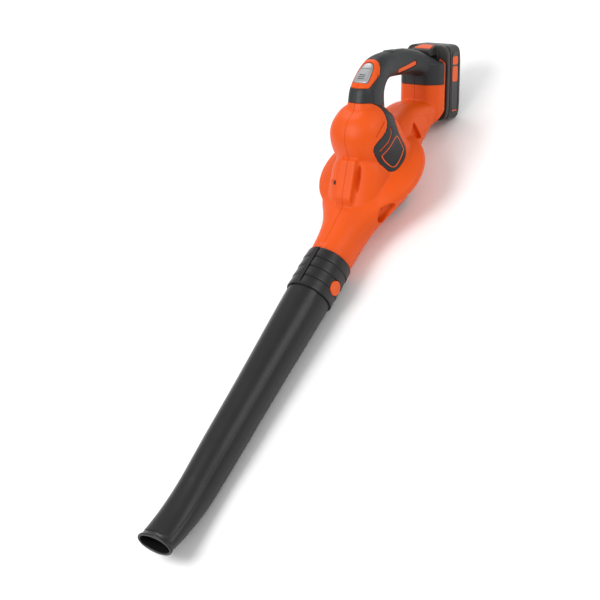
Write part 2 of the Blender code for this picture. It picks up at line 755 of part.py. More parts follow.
def collar_outline():
    """Outer (x, radius) of the ringed collar from the rear edge to the front flange."""
    pitch = COLLAR_LENGTH / COLLAR_RINGS
    points = []
    for i in range(COLLAR_RINGS):
        back = -pitch * i
        points.append((back, COLLAR_RADIUS))
        points.append((back - pitch + 0.0016, COLLAR_RADIUS + RING_STEP))
        points.append((back - pitch + 0.0008, COLLAR_RADIUS))
    points[-1] = (-COLLAR_LENGTH, COLLAR_RADIUS + RING_STEP)
    return points


def make_tube():
    """Ringed collar and blow tube, both sliding off forwards."""
    black = ("tube_black", BLACK, 0.42)
    inner = SPIGOT_RADIUS + 2 * GAP
    profile = [(inner, 0.0)] + [(r, x) for x, r in collar_outline()]
    profile += [(TUBE_REAR_RADIUS + 2 * GAP, -COLLAR_LENGTH),
                (TUBE_REAR_RADIUS + 2 * GAP, -SPIGOT_LENGTH - 0.002),
                (inner, -SPIGOT_LENGTH - 0.002)]
    bm = ring_lathe(profile, 22)
    bm.transform(Matrix.Rotation(math.radians(90), 4, "Y"))
    collar = solid(bm)
    hole = cylinder(LOCK_RADIUS + 2 * GAP, -0.05, -0.02, 22)
    combine(collar, "DIFFERENCE", solid(hole, Matrix.Translation((LOCK_X, 0, 0)) @ along_y()))
    collar = finish(collar, "tube_collar", black)

    rows = tube_rows()
    start = (-SPIGOT_LENGTH - 0.0023, 0.0, TUBE_REAR_RADIUS, TUBE_REAR_RADIUS, 0.0)
    outer = [start] + rows
    x, z, wide, tall, tilt = rows[-1]
    lip = [(x + LIP_LENGTH, z - LIP_LENGTH * 0.3, wide + 0.0002, tall + 0.0003, tilt),
           (x + LIP_LENGTH * 0.6, z - LIP_LENGTH * 0.2, wide + LIP_HEIGHT, tall + LIP_HEIGHT, tilt),
           (x, z, wide + LIP_HEIGHT, tall + LIP_HEIGHT, tilt)]
    outer = outer[:-1] + lip
    tube = solid(loft([upright_ring(*row) for row in outer]))
    bore = [(0.0, 0.0, *(2 * (TUBE_REAR_RADIUS - TUBE_WALL,)), 0.0)]
    bore += [(x, z, w - TUBE_WALL, h - TUBE_WALL, t) for x, z, w, h, t in rows]
    x, z, w, h, t = bore[-1]
    bore.append((x - 0.01, z + 0.0034, w + 0.001, h + 0.001, t))
    combine(tube, "DIFFERENCE", solid(loft([upright_ring(*row) for row in bore])))
    tube = finish(tube, "blow_tube", black)
    slide = joint_empty("tube_slide_axis", (-COLLAR_LENGTH, 0, 0))
    carry(slide, collar, tube)


def make_tube_lock():
    """Orange lock button in the collar's left side, over a spring in the spigot's cup."""
    face = COLLAR_RADIUS + RING_STEP + 0.0006
    button = cylinder(LOCK_RADIUS, -face, -LOCK_SEAT, 22)
    bevelled(button, 0.0008, 1)
    place = Matrix.Translation((LOCK_X, 0, 0)) @ along_y()
    button = add_object("tube_lock_button", button, ("orange_button", ORANGE, 0.4), place)
    push = joint_empty("tube_lock_axis", (LOCK_X, -face, 0))
    carry(push, button)
    coil("tube_lock_spring", 0.0040, 0.0005, 3, -LOCK_SEAT + LOCK_TRAVEL + GAP,
         -LOCK_CUP_FLOOR - GAP, place)


def lock_cup():
    """Cup inside the spigot's wall that holds the lock's spring."""
    place = Matrix.Translation((LOCK_X, 0, 0)) @ along_y()
    cup = cylinder(LOCK_RADIUS + GAP + 0.0014, -SPIGOT_RADIUS, -LOCK_CUP_FLOOR + 0.0014, 22)
    inside = spigot_bore(SPIGOT_RADIUS - GAP, -SPIGOT_LENGTH, 0.0)
    return combine(solid(cup, place), "INTERSECT", solid(inside))


def coil(name, radius, wire, turns, start, end, matrix):
    """A compression spring between two heights on a local Z axis."""
    steps = 7 * turns
    around = 4
    rings = []
    for i in range(steps + 1):
        t = i / steps
        angle = 2 * math.pi * turns * t
        outward = Vector((math.cos(angle), math.sin(angle), 0))
        middle = outward * radius + Vector((0, 0, start + wire + (end - start - 2 * wire) * t))
        ring = []
        for k in range(around):
            turn = 2 * math.pi * k / around
            ring.append(middle + outward * wire * math.cos(turn)
                        + Vector((0, 0, wire * math.sin(turn))))
        rings.append(ring)
    return add_object(name, loft(rings), ("spring_steel", STEEL, 0.3, 1.0), matrix)


# ------------------------------------------------------------------ fan and motor
def at_fan(height=0.0):
    return Matrix.Translation((FAN_X, 0, height))


def make_intake():
    """Slotted intake grille in the belly and the bell-mouth ring over it."""
    top = -BELLY_DEPTH + GRILLE_THICKNESS
    grille = solid(cylinder(INTAKE_RADIUS, -BELLY_DEPTH, top, 36), at_fan())
    for ring, count in ((0.5, GRILLE_SLOTS // 2), (0.82, GRILLE_SLOTS)):
        middle = INTAKE_RADIUS * ring
        length = INTAKE_RADIUS * 0.26
        for i in range(count):
            angle = 2 * math.pi * (i + 0.5) / count
            slot = box((middle - length / 2, -0.0026, -BIG), (middle + length / 2, 0.0026, BIG))
            combine(grille, "DIFFERENCE",
                    solid(slot, at_fan() @ Matrix.Rotation(angle, 4, "Z")))
    finish(grille, "intake_grille", ("intake_black", BLACK, 0.5))
    low = top + GAP
    inner = INTAKE_RADIUS * 0.86
    outer = BELLY_RADIUS - WALL - 0.001
    profile = ((inner, low), (outer, low), (outer, low + 0.0022), (inner + 0.0022, low + 0.0030),
               (inner + 0.0014, low + 0.0085), (inner - 0.0004, low + 0.0085))
    add_object("inlet_ring", ring_lathe(profile, 22, (FAN_X, 0)), ("inlet_grey", CHARCOAL, 0.6))


def make_scroll():
    """Spiral wall that gathers the air and sends it into the neck."""
    low, high = DECK_HEIGHT - 0.018, DECK_HEIGHT - GAP
    start, turn = math.radians(215), math.radians(262)
    steps = 20
    rings = []
    for i in range(steps + 1):
        t = i / steps
        angle = start + turn * t
        inner = IMPELLER_RADIUS + 0.0025 + 0.0045 * t
        outer = inner + 0.0022
        c, s = math.cos(angle), math.sin(angle)
        rings.append([Vector((FAN_X + r * c, r * s, z))
                      for r, z in ((inner, low), (outer, low), (outer, high), (inner, high))])
    add_object("fan_scroll", loft(rings), ("scroll_grey", CHARCOAL, 0.55))


def make_impeller():
    """Backward-curved centrifugal fan with its hub, one moulding."""
    low = IMPELLER_TOP - 0.002
    plate = ((0, low), (IMPELLER_RADIUS, low), (IMPELLER_RADIUS, IMPELLER_TOP), (0, IMPELLER_TOP))
    body = solid(lathe(plate, 28), at_fan())
    hub = cylinder(0.0075, IMPELLER_TOP - 0.024, IMPELLER_TOP - 0.001, 20)
    combine(body, "UNION", solid(hub, at_fan()))
    steps = 4
    for blade in range(BLADES):
        offset = 2 * math.pi * blade / BLADES
        rings = []
        for i in range(steps + 1):
            t = i / steps
            radius = 0.019 + (IMPELLER_RADIUS - 0.0195) * t
            angle = offset + math.radians(52) * t
            half = BLADE_THICKNESS / 2 / radius
            depth = IMPELLER_EYE_DEPTH + (IMPELLER_TIP_DEPTH - IMPELLER_EYE_DEPTH) * t
            rings.append([Vector((radius * math.cos(a), radius * math.sin(a), z)) for a, z in (
                (angle - half, IMPELLER_TOP - depth), (angle + half, IMPELLER_TOP - depth),
                (angle + half, IMPELLER_TOP - 0.001), (angle - half, IMPELLER_TOP - 0.001))])
        combine(body, "UNION", solid(loft(rings), at_fan()))
    bore = cylinder(SHAFT_RADIUS + GAP, -0.1, 0.1, 16)
    combine(body, "DIFFERENCE", solid(bore, at_fan()))
    return finish(body, "impeller", ("impeller_black", BLACK, 0.45))


def make_motor():
    """Brushed motor upright on a deck that closes the fan chamber."""
    base = DECK_HEIGHT + DECK_THICKNESS + GAP
    top = base + MOTOR_LENGTH
    inside = MOTOR_RADIUS - MOTOR_WALL
    steel = ("motor_steel", STEEL, 0.35, 1.0)

    deck = solid(cylinder(DECK_RADIUS, DECK_HEIGHT, DECK_HEIGHT + DECK_THICKNESS, 32), at_fan())
    combine(deck, "DIFFERENCE", solid(cylinder(0.0060, -0.1, 0.1, 20), at_fan()))
    for side in (-1, 1):
        hole = cylinder(SCREW_RADIUS + GAP, -0.1, 0.1, 12)
        combine(deck, "DIFFERENCE", solid(hole, at_fan() @ Matrix.Translation((0, side * 0.0125, 0))))
    finish(deck, "motor_deck", ("deck_grey", CHARCOAL, 0.55))

    can = solid(cylinder(MOTOR_RADIUS, base, top, 26), at_fan())
    combine(can, "DIFFERENCE", solid(cylinder(inside, base + 0.002, top + 0.01, 26), at_fan()),
            solid(cylinder(0.0068 + GAP, base - 0.01, base + 0.004, 20), at_fan()))
    for side in (-1, 1):
        hole = cylinder(SCREW_RADIUS + GAP, base - 0.01, base + 0.004, 12)
        combine(can, "DIFFERENCE", solid(hole, at_fan() @ Matrix.Translation((0, side * 0.0125, 0))))
    finish(can, "motor_can", steel)

    cap_low = top - 0.007
    cap = solid(cylinder(inside - 2 * GAP, cap_low, top + 0.003, 24), at_fan())
    combine(cap, "DIFFERENCE", solid(cylinder(0.0062 + GAP, cap_low - 0.01, top, 14), at_fan()),
            solid(cylinder(SHAFT_RADIUS + 2 * GAP, top - 0.01, top + 0.02, 16), at_fan()))
    finish(cap, "motor_end_cap", ("cap_plastic", BLACK, 0.6))

    for side, word in ((-1, "left"), (1, "right")):
        screw = solid(cylinder(SCREW_RADIUS, DECK_HEIGHT - 0.0004, base + 0.005, 8), at_fan())
        combine(screw, "UNION", solid(cylinder(0.0030, DECK_HEIGHT - 0.0022, DECK_HEIGHT - GAP, 12),
                                      at_fan()))
        screw.location.y += side * 0.0125
        finish_at(screw, f"motor_screw_{word}", ("screw_steel", STEEL, 0.35, 1.0))

    arc = math.radians(66)
    for side, word in ((-1, "front"), (1, "rear")):
        middle = math.pi if side < 0 else 0.0
        rings = []
        for i in range(9):
            angle = middle + arc * (2 * i / 8 - 1)
            c, s = math.cos(angle), math.sin(angle)
            rings.append([Vector((r * c, r * s, z)) for r, z in (
                (ARMATURE_RADIUS + 0.0006, base + 0.007), (inside - GAP, base + 0.007),
                (inside - GAP, base + 0.034), (ARMATURE_RADIUS + 0.0006, base + 0.034))])
        add_object(f"magnet_{word}", loft(rings), ("magnet_grey", CHARCOAL, 0.5), at_fan())

    low = base + 0.006
    shaft = solid(cylinder(SHAFT_RADIUS, IMPELLER_TOP - 0.030, top + 0.001, 16), at_fan())
    core = cylinder(ARMATURE_RADIUS, low, low + ARMATURE_LENGTH, 25)
    core = solid(core, at_fan())
    combine(core, "DIFFERENCE", solid(cylinder(SHAFT_RADIUS + GAP, 0, 0.1, 16), at_fan()))
    for i in range(5):
        slot = box((ARMATURE_RADIUS - 0.004, -0.0011, 0), (ARMATURE_RADIUS + 0.01, 0.0011, 0.1))
        combine(core, "DIFFERENCE",
                solid(slot, at_fan() @ Matrix.Rotation(2 * math.pi * i / 5, 4, "Z")))
    core = finish(core, "armature", ("armature_copper", COPPER, 0.4, 1.0))
    low_c = low + ARMATURE_LENGTH + GAP
    commutator = ring_lathe(((SHAFT_RADIUS + GAP, low_c), (0.0046, low_c),
                             (0.0046, low_c + 0.0075), (SHAFT_RADIUS + GAP, low_c + 0.0075)), 14)
    commutator = add_object("commutator", commutator, ("commutator_copper", COPPER, 0.3, 1.0),
                            at_fan())
    for side, word in ((-1, "left"), (1, "right")):
        low_y, high_y = sorted((side * (0.0046 + GAP), side * 0.0100))
        brush = box((-0.002, low_y, low_c + 0.0015), (0.002, high_y, low_c + 0.006))
        add_object(f"carbon_brush_{word}", brush, ("carbon", BLACK, 0.7), at_fan())
    shaft = finish(shaft, "motor_shaft", steel)
    bearing_top = low_c + 0.0078
    for word, low_b, high_b, wide in (("lower", base + 0.0004, base + 0.0046, 0.0068),
                                      ("upper", bearing_top, bearing_top + 0.0034, 0.0062)):
        profile = ((SHAFT_RADIUS + GAP, low_b), (wide, low_b), (wide, high_b),
                   (SHAFT_RADIUS + GAP, high_b))
        add_object(f"bearing_{word}", ring_lathe(profile, 14), ("bearing_bronze", COPPER, 0.35, 1.0),
                   at_fan())

    impeller = make_impeller()
    nut = solid(cylinder(0.0042, IMPELLER_TOP - 0.0280, IMPELLER_TOP - 0.0243, 6), at_fan())
    combine(nut, "DIFFERENCE", solid(cylinder(SHAFT_RADIUS + GAP, -0.1, 0.1, 16), at_fan()))
    nut = finish(nut, "impeller_nut", ("screw_steel", STEEL, 0.35, 1.0))
    spin = joint_empty("fan_axis", (FAN_X, 0, 0))
    carry(spin, shaft, core, commutator, impeller, nut)


def finish_at(base, name, look):
    """Like finish, for a body that has been moved by its location."""
    base.data.transform(Matrix.Translation(base.location))
    base.location = (0, 0, 0)
    return finish(base, name, look)


# ------------------------------------------------------------------ controls
def make_controls():
    """Boost button, power slide and what they act on."""
    crown = []
    half_long, half_wide = BUTTON_LENGTH / 2, BUTTON_HALF_WIDTH
    for share, height in ((1.0, -BUTTON_THICKNESS), (1.0, 0.0004), (0.93, 0.0019), (0.75, 0.0028)):
        crown.append([Vector((a, b, height)) for a, b in
                      oval(half_long * share, half_wide * share, 4.5, 28)])
    button = add_object("boost_button", loft(crown), ("button_silver", SILVER, 0.35, 0.3),
                        button_matrix())
    push = joint_empty("boost_axis", button_matrix().translation)
    carry(push, button)
    coil("boost_spring", 0.0030, 0.0005, 2, -BUTTON_THICKNESS - 0.0064,
         -BUTTON_THICKNESS - BUTTON_TRAVEL - GAP,
         button_matrix() @ Matrix.Translation((0.008, 0, 0)))
    base = -BUTTON_THICKNESS - 0.0066
    switch = box((-0.012, -0.006, base - 0.006), (0.012, 0.006, base))
    add_object("boost_switch", bevelled(switch, 0.0006, 1), ("switch_black", BLACK, 0.5),
               button_matrix())

    plate = box((SLIDER_START, -SLIDER_HALF_WIDTH, GRIP_TOP - 0.0045),
                (SLIDER_START + SLIDER_LENGTH, SLIDER_HALF_WIDTH, GRIP_TOP + SLIDER_PROUD))
    plate = solid(plate, grip_matrix())
    for i in range(4):
        x = SLIDER_START + SLIDER_LENGTH * (0.25 + 0.16 * i)
        groove = box((x - 0.0009, -BIG, GRIP_TOP + 0.0004), (x + 0.0009, BIG, GRIP_TOP + 0.01))
        combine(plate, "DIFFERENCE", solid(groove, grip_matrix()))
    plate = finish(plate, "power_slide", ("slide_black", BLACK, 0.5))
    axis = joint_empty("power_slide_axis", grip_point(SLIDER_START + SLIDER_LENGTH / 2, GRIP_TOP))
    carry(axis, plate)
    body = box((SLIDER_START, -0.007, GRIP_TOP - 0.019),
               (SLIDER_START + 0.026, 0.007, GRIP_TOP - 0.0049))
    add_object("power_switch", bevelled(body, 0.0006, 1), ("switch_black", BLACK, 0.5),
               grip_matrix())


# ------------------------------------------------------------------ wiring in the grip
def lead(name, points, look, radius=0.0009):
    """A fixed lead along a smooth run through the given tool-frame points."""
    curve = bpy.data.curves.new(name, "CURVE")
    curve.dimensions = "3D"
    curve.bevel_depth = radius
    curve.bevel_resolution = 1
    curve.use_fill_caps = True
    samples = smooth_run([Vector(p) for p in points], 4)
    spline = curve.splines.new("POLY")
    spline.points.add(len(samples) - 1)
    for spot, place in zip(spline.points, samples):
        spot.co = (*place, 1)
    curve.materials.append(material(*look))
    made = bpy.data.objects.new(name, curve)
    bpy.context.collection.objects.link(made)
    made.parent = ROOT
    return made


def smooth_run(points, steps):
    """Catmull-Rom samples through the points."""
    padded = [points[0] * 2 - points[1]] + points + [points[-1] * 2 - points[-2]]
    samples = []
    for a, b, c, d in zip(padded, padded[1:], padded[2:], padded[3:]):
        for i in range(steps):
            t = i / steps
            samples.append(0.5 * ((2 * b) + (c - a) * t + (2 * a - 5 * b + 4 * c - d) * t * t
                                  + (3 * b - a - 3 * c + d) * t ** 3))
    samples.append(points[-1])
    return samples


def make_wiring():
    """Terminal block, blades, speed board and the leads between them."""
    block_front = RECEIVER_REAR - RAIL_DEPTH - 0.0080
    block_rear = RECEIVER_REAR - RAIL_DEPTH - 0.0004
    low, high = 0.1798, 0.2052
    block = solid(box((block_front, -0.0145, low), (block_rear, 0.0145, high)), grip_matrix())
    for side, word in ((-1, "negative"), (1, "positive")):
        y = side * 0.008
        slot = box((block_front - 0.01, y - 0.0005 - GAP, low + 0.0017),
                   (block_rear + 0.01, y + 0.0005 + GAP, high - 0.0017))
        combine(block, "DIFFERENCE", solid(slot, grip_matrix()))
        blade = box((block_front - 0.0008, y - 0.0005, low + 0.002),
                    (RECEIVER_REAR - 0.0035, y + 0.0005, high - 0.002))
        add_object(f"terminal_blade_{word}", blade, ("blade_brass", COPPER, 0.3, 1.0), grip_matrix())
    finish(block, "terminal_block", ("terminal_black", BLACK, 0.5))

    board = box((-0.020, -0.012, 0), (0.020, 0.012, 0.0016))
    spot = grip_matrix() @ Matrix.Translation((0.100, 0, 0.171)) @ Matrix.Rotation(-0.2, 4, "Y")
    add_object("speed_board", board, ("board_green", GREEN, 0.5), spot)

    red = ("lead_red", (0.5, 0.02, 0.02, 1), 0.5)
    black = ("lead_black", BLACK, 0.5)
    for y, look, word in ((0.008, red, "positive"), (-0.008, black, "negative")):
        run = [grip_point(0.2365, 0.2075, y), grip_point(0.2335, 0.222, y * 0.9),
               grip_point(0.222, 0.243, y * 0.8), grip_point(0.200, 0.2475, y * 0.6),
               grip_point(0.1830, 0.247, y * 0.5)]
        lead(f"battery_lead_{word}", run, look)
    top = DECK_HEIGHT + DECK_THICKNESS + MOTOR_LENGTH + 0.0045
    for y, look, word in ((0.009, red, "positive"), (-0.009, black, "negative")):
        run = [Vector((FAN_X + 0.006, y, top)), Vector((FAN_X + 0.012, y, top + 0.012)),
               grip_point(0.088, 0.160, y), grip_point(0.092, 0.1675, y)]
        lead(f"motor_lead_{word}", run, look)


# ------------------------------------------------------------------ battery pack
def head_top(x):
    """Height of the pack's cap over the receiver, rising gently to the rear."""
    share = (x - HEAD_FRONT) / (PACK_SPLIT - HEAD_FRONT)
    return HEAD_FRONT_TOP + (HEAD_TOP - HEAD_FRONT_TOP) * share


def head_block():
    """Roof-topped cap of the pack that lies over the receiver."""
    low = RECEIVER_SHOULDER - 0.002
    rings = []
    for x in (HEAD_FRONT, PACK_SPLIT - GAP / 2):
        top = head_top(x)
        outline = ((-PACK_HALF_WIDTH + 0.004, low), (PACK_HALF_WIDTH - 0.004, low),
                   (PACK_HALF_WIDTH - 0.003, RECEIVER_SHOULDER + 0.006),
                   (HEAD_HALF_WIDTH, top), (-HEAD_HALF_WIDTH, top),
                   (-PACK_HALF_WIDTH + 0.003, RECEIVER_SHOULDER + 0.006))
        rings.append([Vector((x, y, z)) for y, z in outline])
    return loft(rings)


def make_battery():
    """Pack shells, cells, latch and contacts; the whole pack slides up out of the receiver."""
    dark = ("pack_charcoal", CHARCOAL, 0.5)
    frame = grip_matrix()
    front = RECEIVER_REAR + 0.0012
    rings = []
    for inset, rear in ((0.0, PACK_REAR - 0.004), (0.004, PACK_REAR)):
        rings.append([Vector((rear, y, z)) for y, z in pack_outline(inset)])
    tray = [[Vector((PACK_SPLIT + GAP / 2, y, z)) for y, z in pack_outline(0.0)]] + rings
    tray = solid(loft(tray), frame)
    hollow = loft([[Vector((x, y, z)) for y, z in pack_outline(PACK_WALL)]
                   for x in (PACK_SPLIT - 0.01, PACK_REAR - PACK_WALL - 0.002)])
    combine(tray, "DIFFERENCE", solid(hollow, frame))
    tray = finish(tray, "battery_tray", dark)

    cover = loft([[Vector((x, y, z)) for y, z in pack_outline(0.0)]
                  for x in (front, PACK_SPLIT - GAP / 2)])
    cover = solid(cover, frame)
    head = combine(solid(head_block(), frame), "DIFFERENCE", solid(receiver_clearance(), frame))
    for side in (-1, 1):
        low_y, high_y = sorted((side * HEAD_SHOULDER, side * BIG / 4))
        trim = box((HEAD_FRONT - 0.01, low_y, RECEIVER_SHOULDER - 0.02),
                   (RECEIVER_REAR + 0.0009, high_y, HEAD_TOP + 0.01))
        combine(head, "DIFFERENCE", solid(trim, frame))
    combine(cover, "UNION", head)
    rail = solid(rail_block(0.0, RAIL_BOTTOM, RECEIVER_SHOULDER), frame)
    combine(cover, "UNION", rail)
    hollow = loft([[Vector((x, y, z)) for y, z in pack_outline(PACK_WALL)]
                   for x in (front + PACK_WALL, PACK_SPLIT + 0.01)])
    combine(cover, "DIFFERENCE", solid(hollow, frame))
    for side in (-1, 1):
        y = side * 0.008
        slot = box((RECEIVER_REAR - RAIL_DEPTH - 0.01, y - 0.0012, RAIL_BOTTOM - 0.02),
                   (RECEIVER_REAR - 0.0025, y + 0.0012, 0.207))
        combine(cover, "DIFFERENCE", solid(slot, frame))
    floor = RECEIVER_RIDGE + 0.0018
    combine(cover, "DIFFERENCE", solid(latch_block(GAP, floor, 0.28, 0.28), frame))
    cover = finish(cover, "battery_cover", dark)

    seat = floor + LATCH_TRAVEL + 0.0016
    latch = latch_block(0.0, seat, head_top(LATCH_START) + LATCH_PROUD,
                        head_top(LATCH_START + LATCH_LENGTH) + LATCH_PROUD)
    latch = add_object("battery_latch_button", bevelled(latch, 0.0005, 1),
                       ("latch_orange", ORANGE, 0.4), frame)
    latch_x = LATCH_START + LATCH_LENGTH / 2
    spring = coil("battery_latch_spring", 0.0030, 0.0003, 1, floor + GAP,
                  seat - LATCH_TRAVEL - GAP, frame @ Matrix.Translation((latch_x, 0, 0)))
    middle_x = PACK_SPLIT + (PACK_REAR - PACK_WALL - 0.002 - PACK_SPLIT) / 2 + 0.0015
    cells = []
    first = (PACK_BOTTOM + PACK_TOP) / 2 - CELL_PITCH * (CELLS - 1) / 2
    for i in range(CELLS):
        place = frame @ Matrix.Translation((middle_x, 0, first + CELL_PITCH * i)) @ along_y()
        cell = cylinder(CELL_RADIUS, -CELL_LENGTH / 2, CELL_LENGTH / 2, 16)
        cells.append(add_object(f"cell_{i + 1}", cell, ("cell_wrap", GREEN, 0.4), place))
    board = box((front + PACK_WALL + 0.0006, -0.030, PACK_BOTTOM + 0.008),
                (front + PACK_WALL + 0.0022, 0.030, PACK_TOP - 0.010))
    board = add_object("battery_board", board, ("board_green", GREEN, 0.5), frame)
    labels = []
    for side, word in ((-1, "left"), (1, "right")):
        low_y, high_y = sorted((side * (PACK_HALF_WIDTH + 0.0001), side * (PACK_HALF_WIDTH + 0.0005)))
        strip = box((0.2725, low_y, PACK_BOTTOM + 0.012), (0.2885, high_y, PACK_TOP - 0.012))
        labels.append(add_object(f"battery_label_{word}", strip, ("label_blank", BLACK, 0.3), frame))
    slide = joint_empty("battery_slide_axis", grip_point(PACK_SPLIT, PACK_BOTTOM))
    carry(slide, tray, cover, board, *cells, *labels, spring)
    press = joint_empty("battery_latch_axis", grip_point(latch_x, head_top(latch_x)))
    carry(press, latch)


def pack_outline(inset):
    """Rounded rectangle of the pack seen from behind, in the grip frame's (y, z)."""
    middle = (PACK_TOP + PACK_BOTTOM) / 2
    tall = (PACK_TOP - PACK_BOTTOM) / 2 - inset
    power = 7.5 + inset * 700
    return [(y, middle + h) for y, h in oval(PACK_HALF_WIDTH - inset, tall, power, 28)]


def latch_block(grow, low, front_high, rear_high):
    """Latch button, a trapezoid in plan, between a floor and a sloping top."""
    front, rear = LATCH_START - grow, LATCH_START + LATCH_LENGTH + grow
    wide, narrow = LATCH_HALF_WIDTH + 0.003 + grow, LATCH_HALF_WIDTH + grow
    plan = ((front, -wide, front_high), (rear, -narrow, rear_high),
            (rear, narrow, rear_high), (front, wide, front_high))
    return loft([[Vector((x, y, low)) for x, y, _ in plan],
                 [Vector(corner) for corner in plan]])


def receiver_clearance():
    """The receiver's roof with a running gap, to keep the pack's cap clear of it."""
    clear = 0.0006
    rings = []
    for x in (HEAD_FRONT - 0.01, RECEIVER_REAR + clear):
        outline = []
        for share, z in ((1.0, 0.20), (1.0, RECEIVER_SHOULDER + 2 * clear),
                         (0.62, RECEIVER_RIDGE - 0.0065 + 3 * clear),
                         (0.20, RECEIVER_RIDGE + clear)):
            outline.append((RECEIVER_HALF_WIDTH * share + 2 * clear, z))
        outline += [(-y, z) for y, z in reversed(outline)]
        rings.append([Vector((x, y, z)) for y, z in outline])
    return loft(rings)


# ------------------------------------------------------------------ assembly
def every_point():
    """All evaluated points of the tool in world space."""
    bpy.context.view_layer.update()
    graph = bpy.context.evaluated_depsgraph_get()
    points = []
    for piece in bpy.data.objects:
        if piece.type == "EMPTY":
            continue
        evaluated = piece.evaluated_get(graph)
        mesh = evaluated.to_mesh()
        points += [evaluated.matrix_world @ vertex.co for vertex in mesh.vertices]
        evaluated.to_mesh_clear()
    return points


def lay_down():
    """Lay the tool on the battery's lower edge and the tube, origin bottom centre of its box."""
    points = every_point()
    heel = min(points, key=lambda p: p.z)
    lean = min(math.atan2(p.z - heel.z, heel.x - p.x) for p in points if p.x < heel.x - 0.05)
    ROOT.rotation_euler = (0, -lean, 0)
    points = every_point()
    low = Vector([min(p[i] for p in points) for i in range(3)])
    high = Vector([max(p[i] for p in points) for i in range(3)])
    middle = (low + high) / 2
    ROOT.location = (-middle.x, -middle.y, -low.z)
    bpy.context.view_layer.update()


def main():
    global ROOT
    for old in list(bpy.data.objects):
        bpy.data.objects.remove(old, do_unlink=True)
    ROOT = bpy.data.objects.new("leaf_blower", None)
    bpy.context.collection.objects.link(ROOT)
    make_housing()
    make_tube()
    make_tube_lock()
    make_intake()
    make_scroll()
    make_motor()
    make_controls()
    make_wiring()
    make_battery()
    lay_down()


main()
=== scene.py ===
"""Cordless leaf blower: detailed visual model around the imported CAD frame."""
import json
import math

import bmesh
import bpy
from mathutils import Matrix, Vector


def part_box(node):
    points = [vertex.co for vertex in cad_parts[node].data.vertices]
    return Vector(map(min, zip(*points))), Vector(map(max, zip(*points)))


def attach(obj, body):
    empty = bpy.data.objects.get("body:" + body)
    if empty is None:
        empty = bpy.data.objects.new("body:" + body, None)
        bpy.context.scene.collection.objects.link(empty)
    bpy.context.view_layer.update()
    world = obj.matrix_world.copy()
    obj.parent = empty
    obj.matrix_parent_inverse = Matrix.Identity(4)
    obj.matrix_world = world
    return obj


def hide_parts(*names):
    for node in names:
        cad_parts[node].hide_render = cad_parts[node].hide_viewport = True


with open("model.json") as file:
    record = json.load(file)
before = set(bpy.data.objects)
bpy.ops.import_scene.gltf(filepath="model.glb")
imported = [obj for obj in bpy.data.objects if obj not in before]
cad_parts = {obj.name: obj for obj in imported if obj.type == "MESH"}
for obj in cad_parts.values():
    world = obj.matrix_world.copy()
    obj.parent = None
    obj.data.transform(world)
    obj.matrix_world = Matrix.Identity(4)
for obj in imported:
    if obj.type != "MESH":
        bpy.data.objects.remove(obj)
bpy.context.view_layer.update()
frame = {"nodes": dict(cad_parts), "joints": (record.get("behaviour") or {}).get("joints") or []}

# ---- sizes, in metres
GAP = 0.0004
WALL = 0.0032
OVERMOULD = 0.0016
NECK_TOP = 0.030
COLLAR_LENGTH = 0.064
COLLAR_RADIUS = 0.0333
COLLAR_RINGS = 4
RING_STEP = 0.0009
TUBE_REAR_RADIUS = 0.0322
TUBE_FRONT_RADIUS = 0.0263
TUBE_STRAIGHT_END = 0.366
TUBE_WALL = 0.0022
TUBE_SHARE = 0.990           # a true round fits inside the plain many-sided tube
NOZZLE_LENGTH = 0.105
NOZZLE_HALF_WIDTH = 0.0275
NOZZLE_HALF_HEIGHT = 0.0145
NOZZLE_RISE = 0.0183
NOZZLE_TILT = math.radians(20)
LIP_HEIGHT = 0.0016
SPIGOT_RADIUS = 0.0272
SPIGOT_LENGTH = 0.056
SPIGOT_WALL = 0.0024
NECK_RADIUS = 0.0310
FAN_X = 0.150
CASE_RADIUS = 0.0815
RIM_SHARE = 0.991            # the moulded rim's rounding stays inside the plain form
CASE_RIM_LOW = 0.0145
CASE_RIM_HIGH = 0.0210
BELLY_DEPTH = 0.030
BELLY_RADIUS = 0.038
CASE_CROWN = 0.040
BULGE_X = 0.1725
BULGE_HALF_LENGTH = 0.0465
BULGE_HALF_WIDTH = 0.0480
BULGE_TOP = 0.119
INTAKE_RADIUS = 0.0335
GRIP_TILT = math.radians(41)
RECEIVER_FRONT = 0.228
RECEIVER_REAR = 0.2585
RECEIVER_SIDE = 0.035
RECEIVER_FACE = 0.018
RECEIVER_SHOULDER = 0.236
RECEIVER_RIDGE = 0.250
RAIL_DEPTH = 0.0125
RAIL_LIP = 0.0045
RAIL_HALF = 0.0290
RAIL_MOUTH_HALF = 0.0250
RAIL_BOTTOM = 0.160
BUTTON_CENTRE = (0.1005, 0.2330)
BUTTON_SLOPE = math.radians(46.5)
BUTTON_HALF_LENGTH = 0.018
BUTTON_THICKNESS = 0.0075
SLIDER_START = 0.154
SLIDER_LENGTH = 0.028
SLIDER_HALF_WIDTH = 0.0082
SLIDER_TRAVEL = 0.006
GRIP_TOP = 0.2588
LOCK_X = -0.041
LOCK_RADIUS = 0.0105
LOCK_SEAT = 0.0284
LOCK_CUP_FLOOR = 0.0196
SCREW_HEAD_RADIUS = 0.0034
BOSS_RADIUS = 0.0048
SCREW_SINK = 0.0022
PACK_HALF_WIDTH = 0.037
PACK_BOTTOM = 0.150
PACK_TOP = 0.261
PACK_SPLIT = 0.268
HEAD_FRONT = 0.241
HEAD_FRONT_TOP = 0.2556
HEAD_TOP = 0.2618
LATCH_START = 0.246
LATCH_LENGTH = 0.016
LATCH_HALF_WIDTH = 0.0105
PACK_WALL = 0.0024
LABEL_X = 0.2805             # middle of the flank label, in the grip frame
VOXEL = 0.0013               # remesh step of the melted forms
SHELL_VOXEL = 0.00095
OVERMOULD_VOXEL = 0.0006
ARCH_DEPTH = 0.0085
SCOOP_DEPTH = 0.0080
PAD_DEPTH = 0.0010
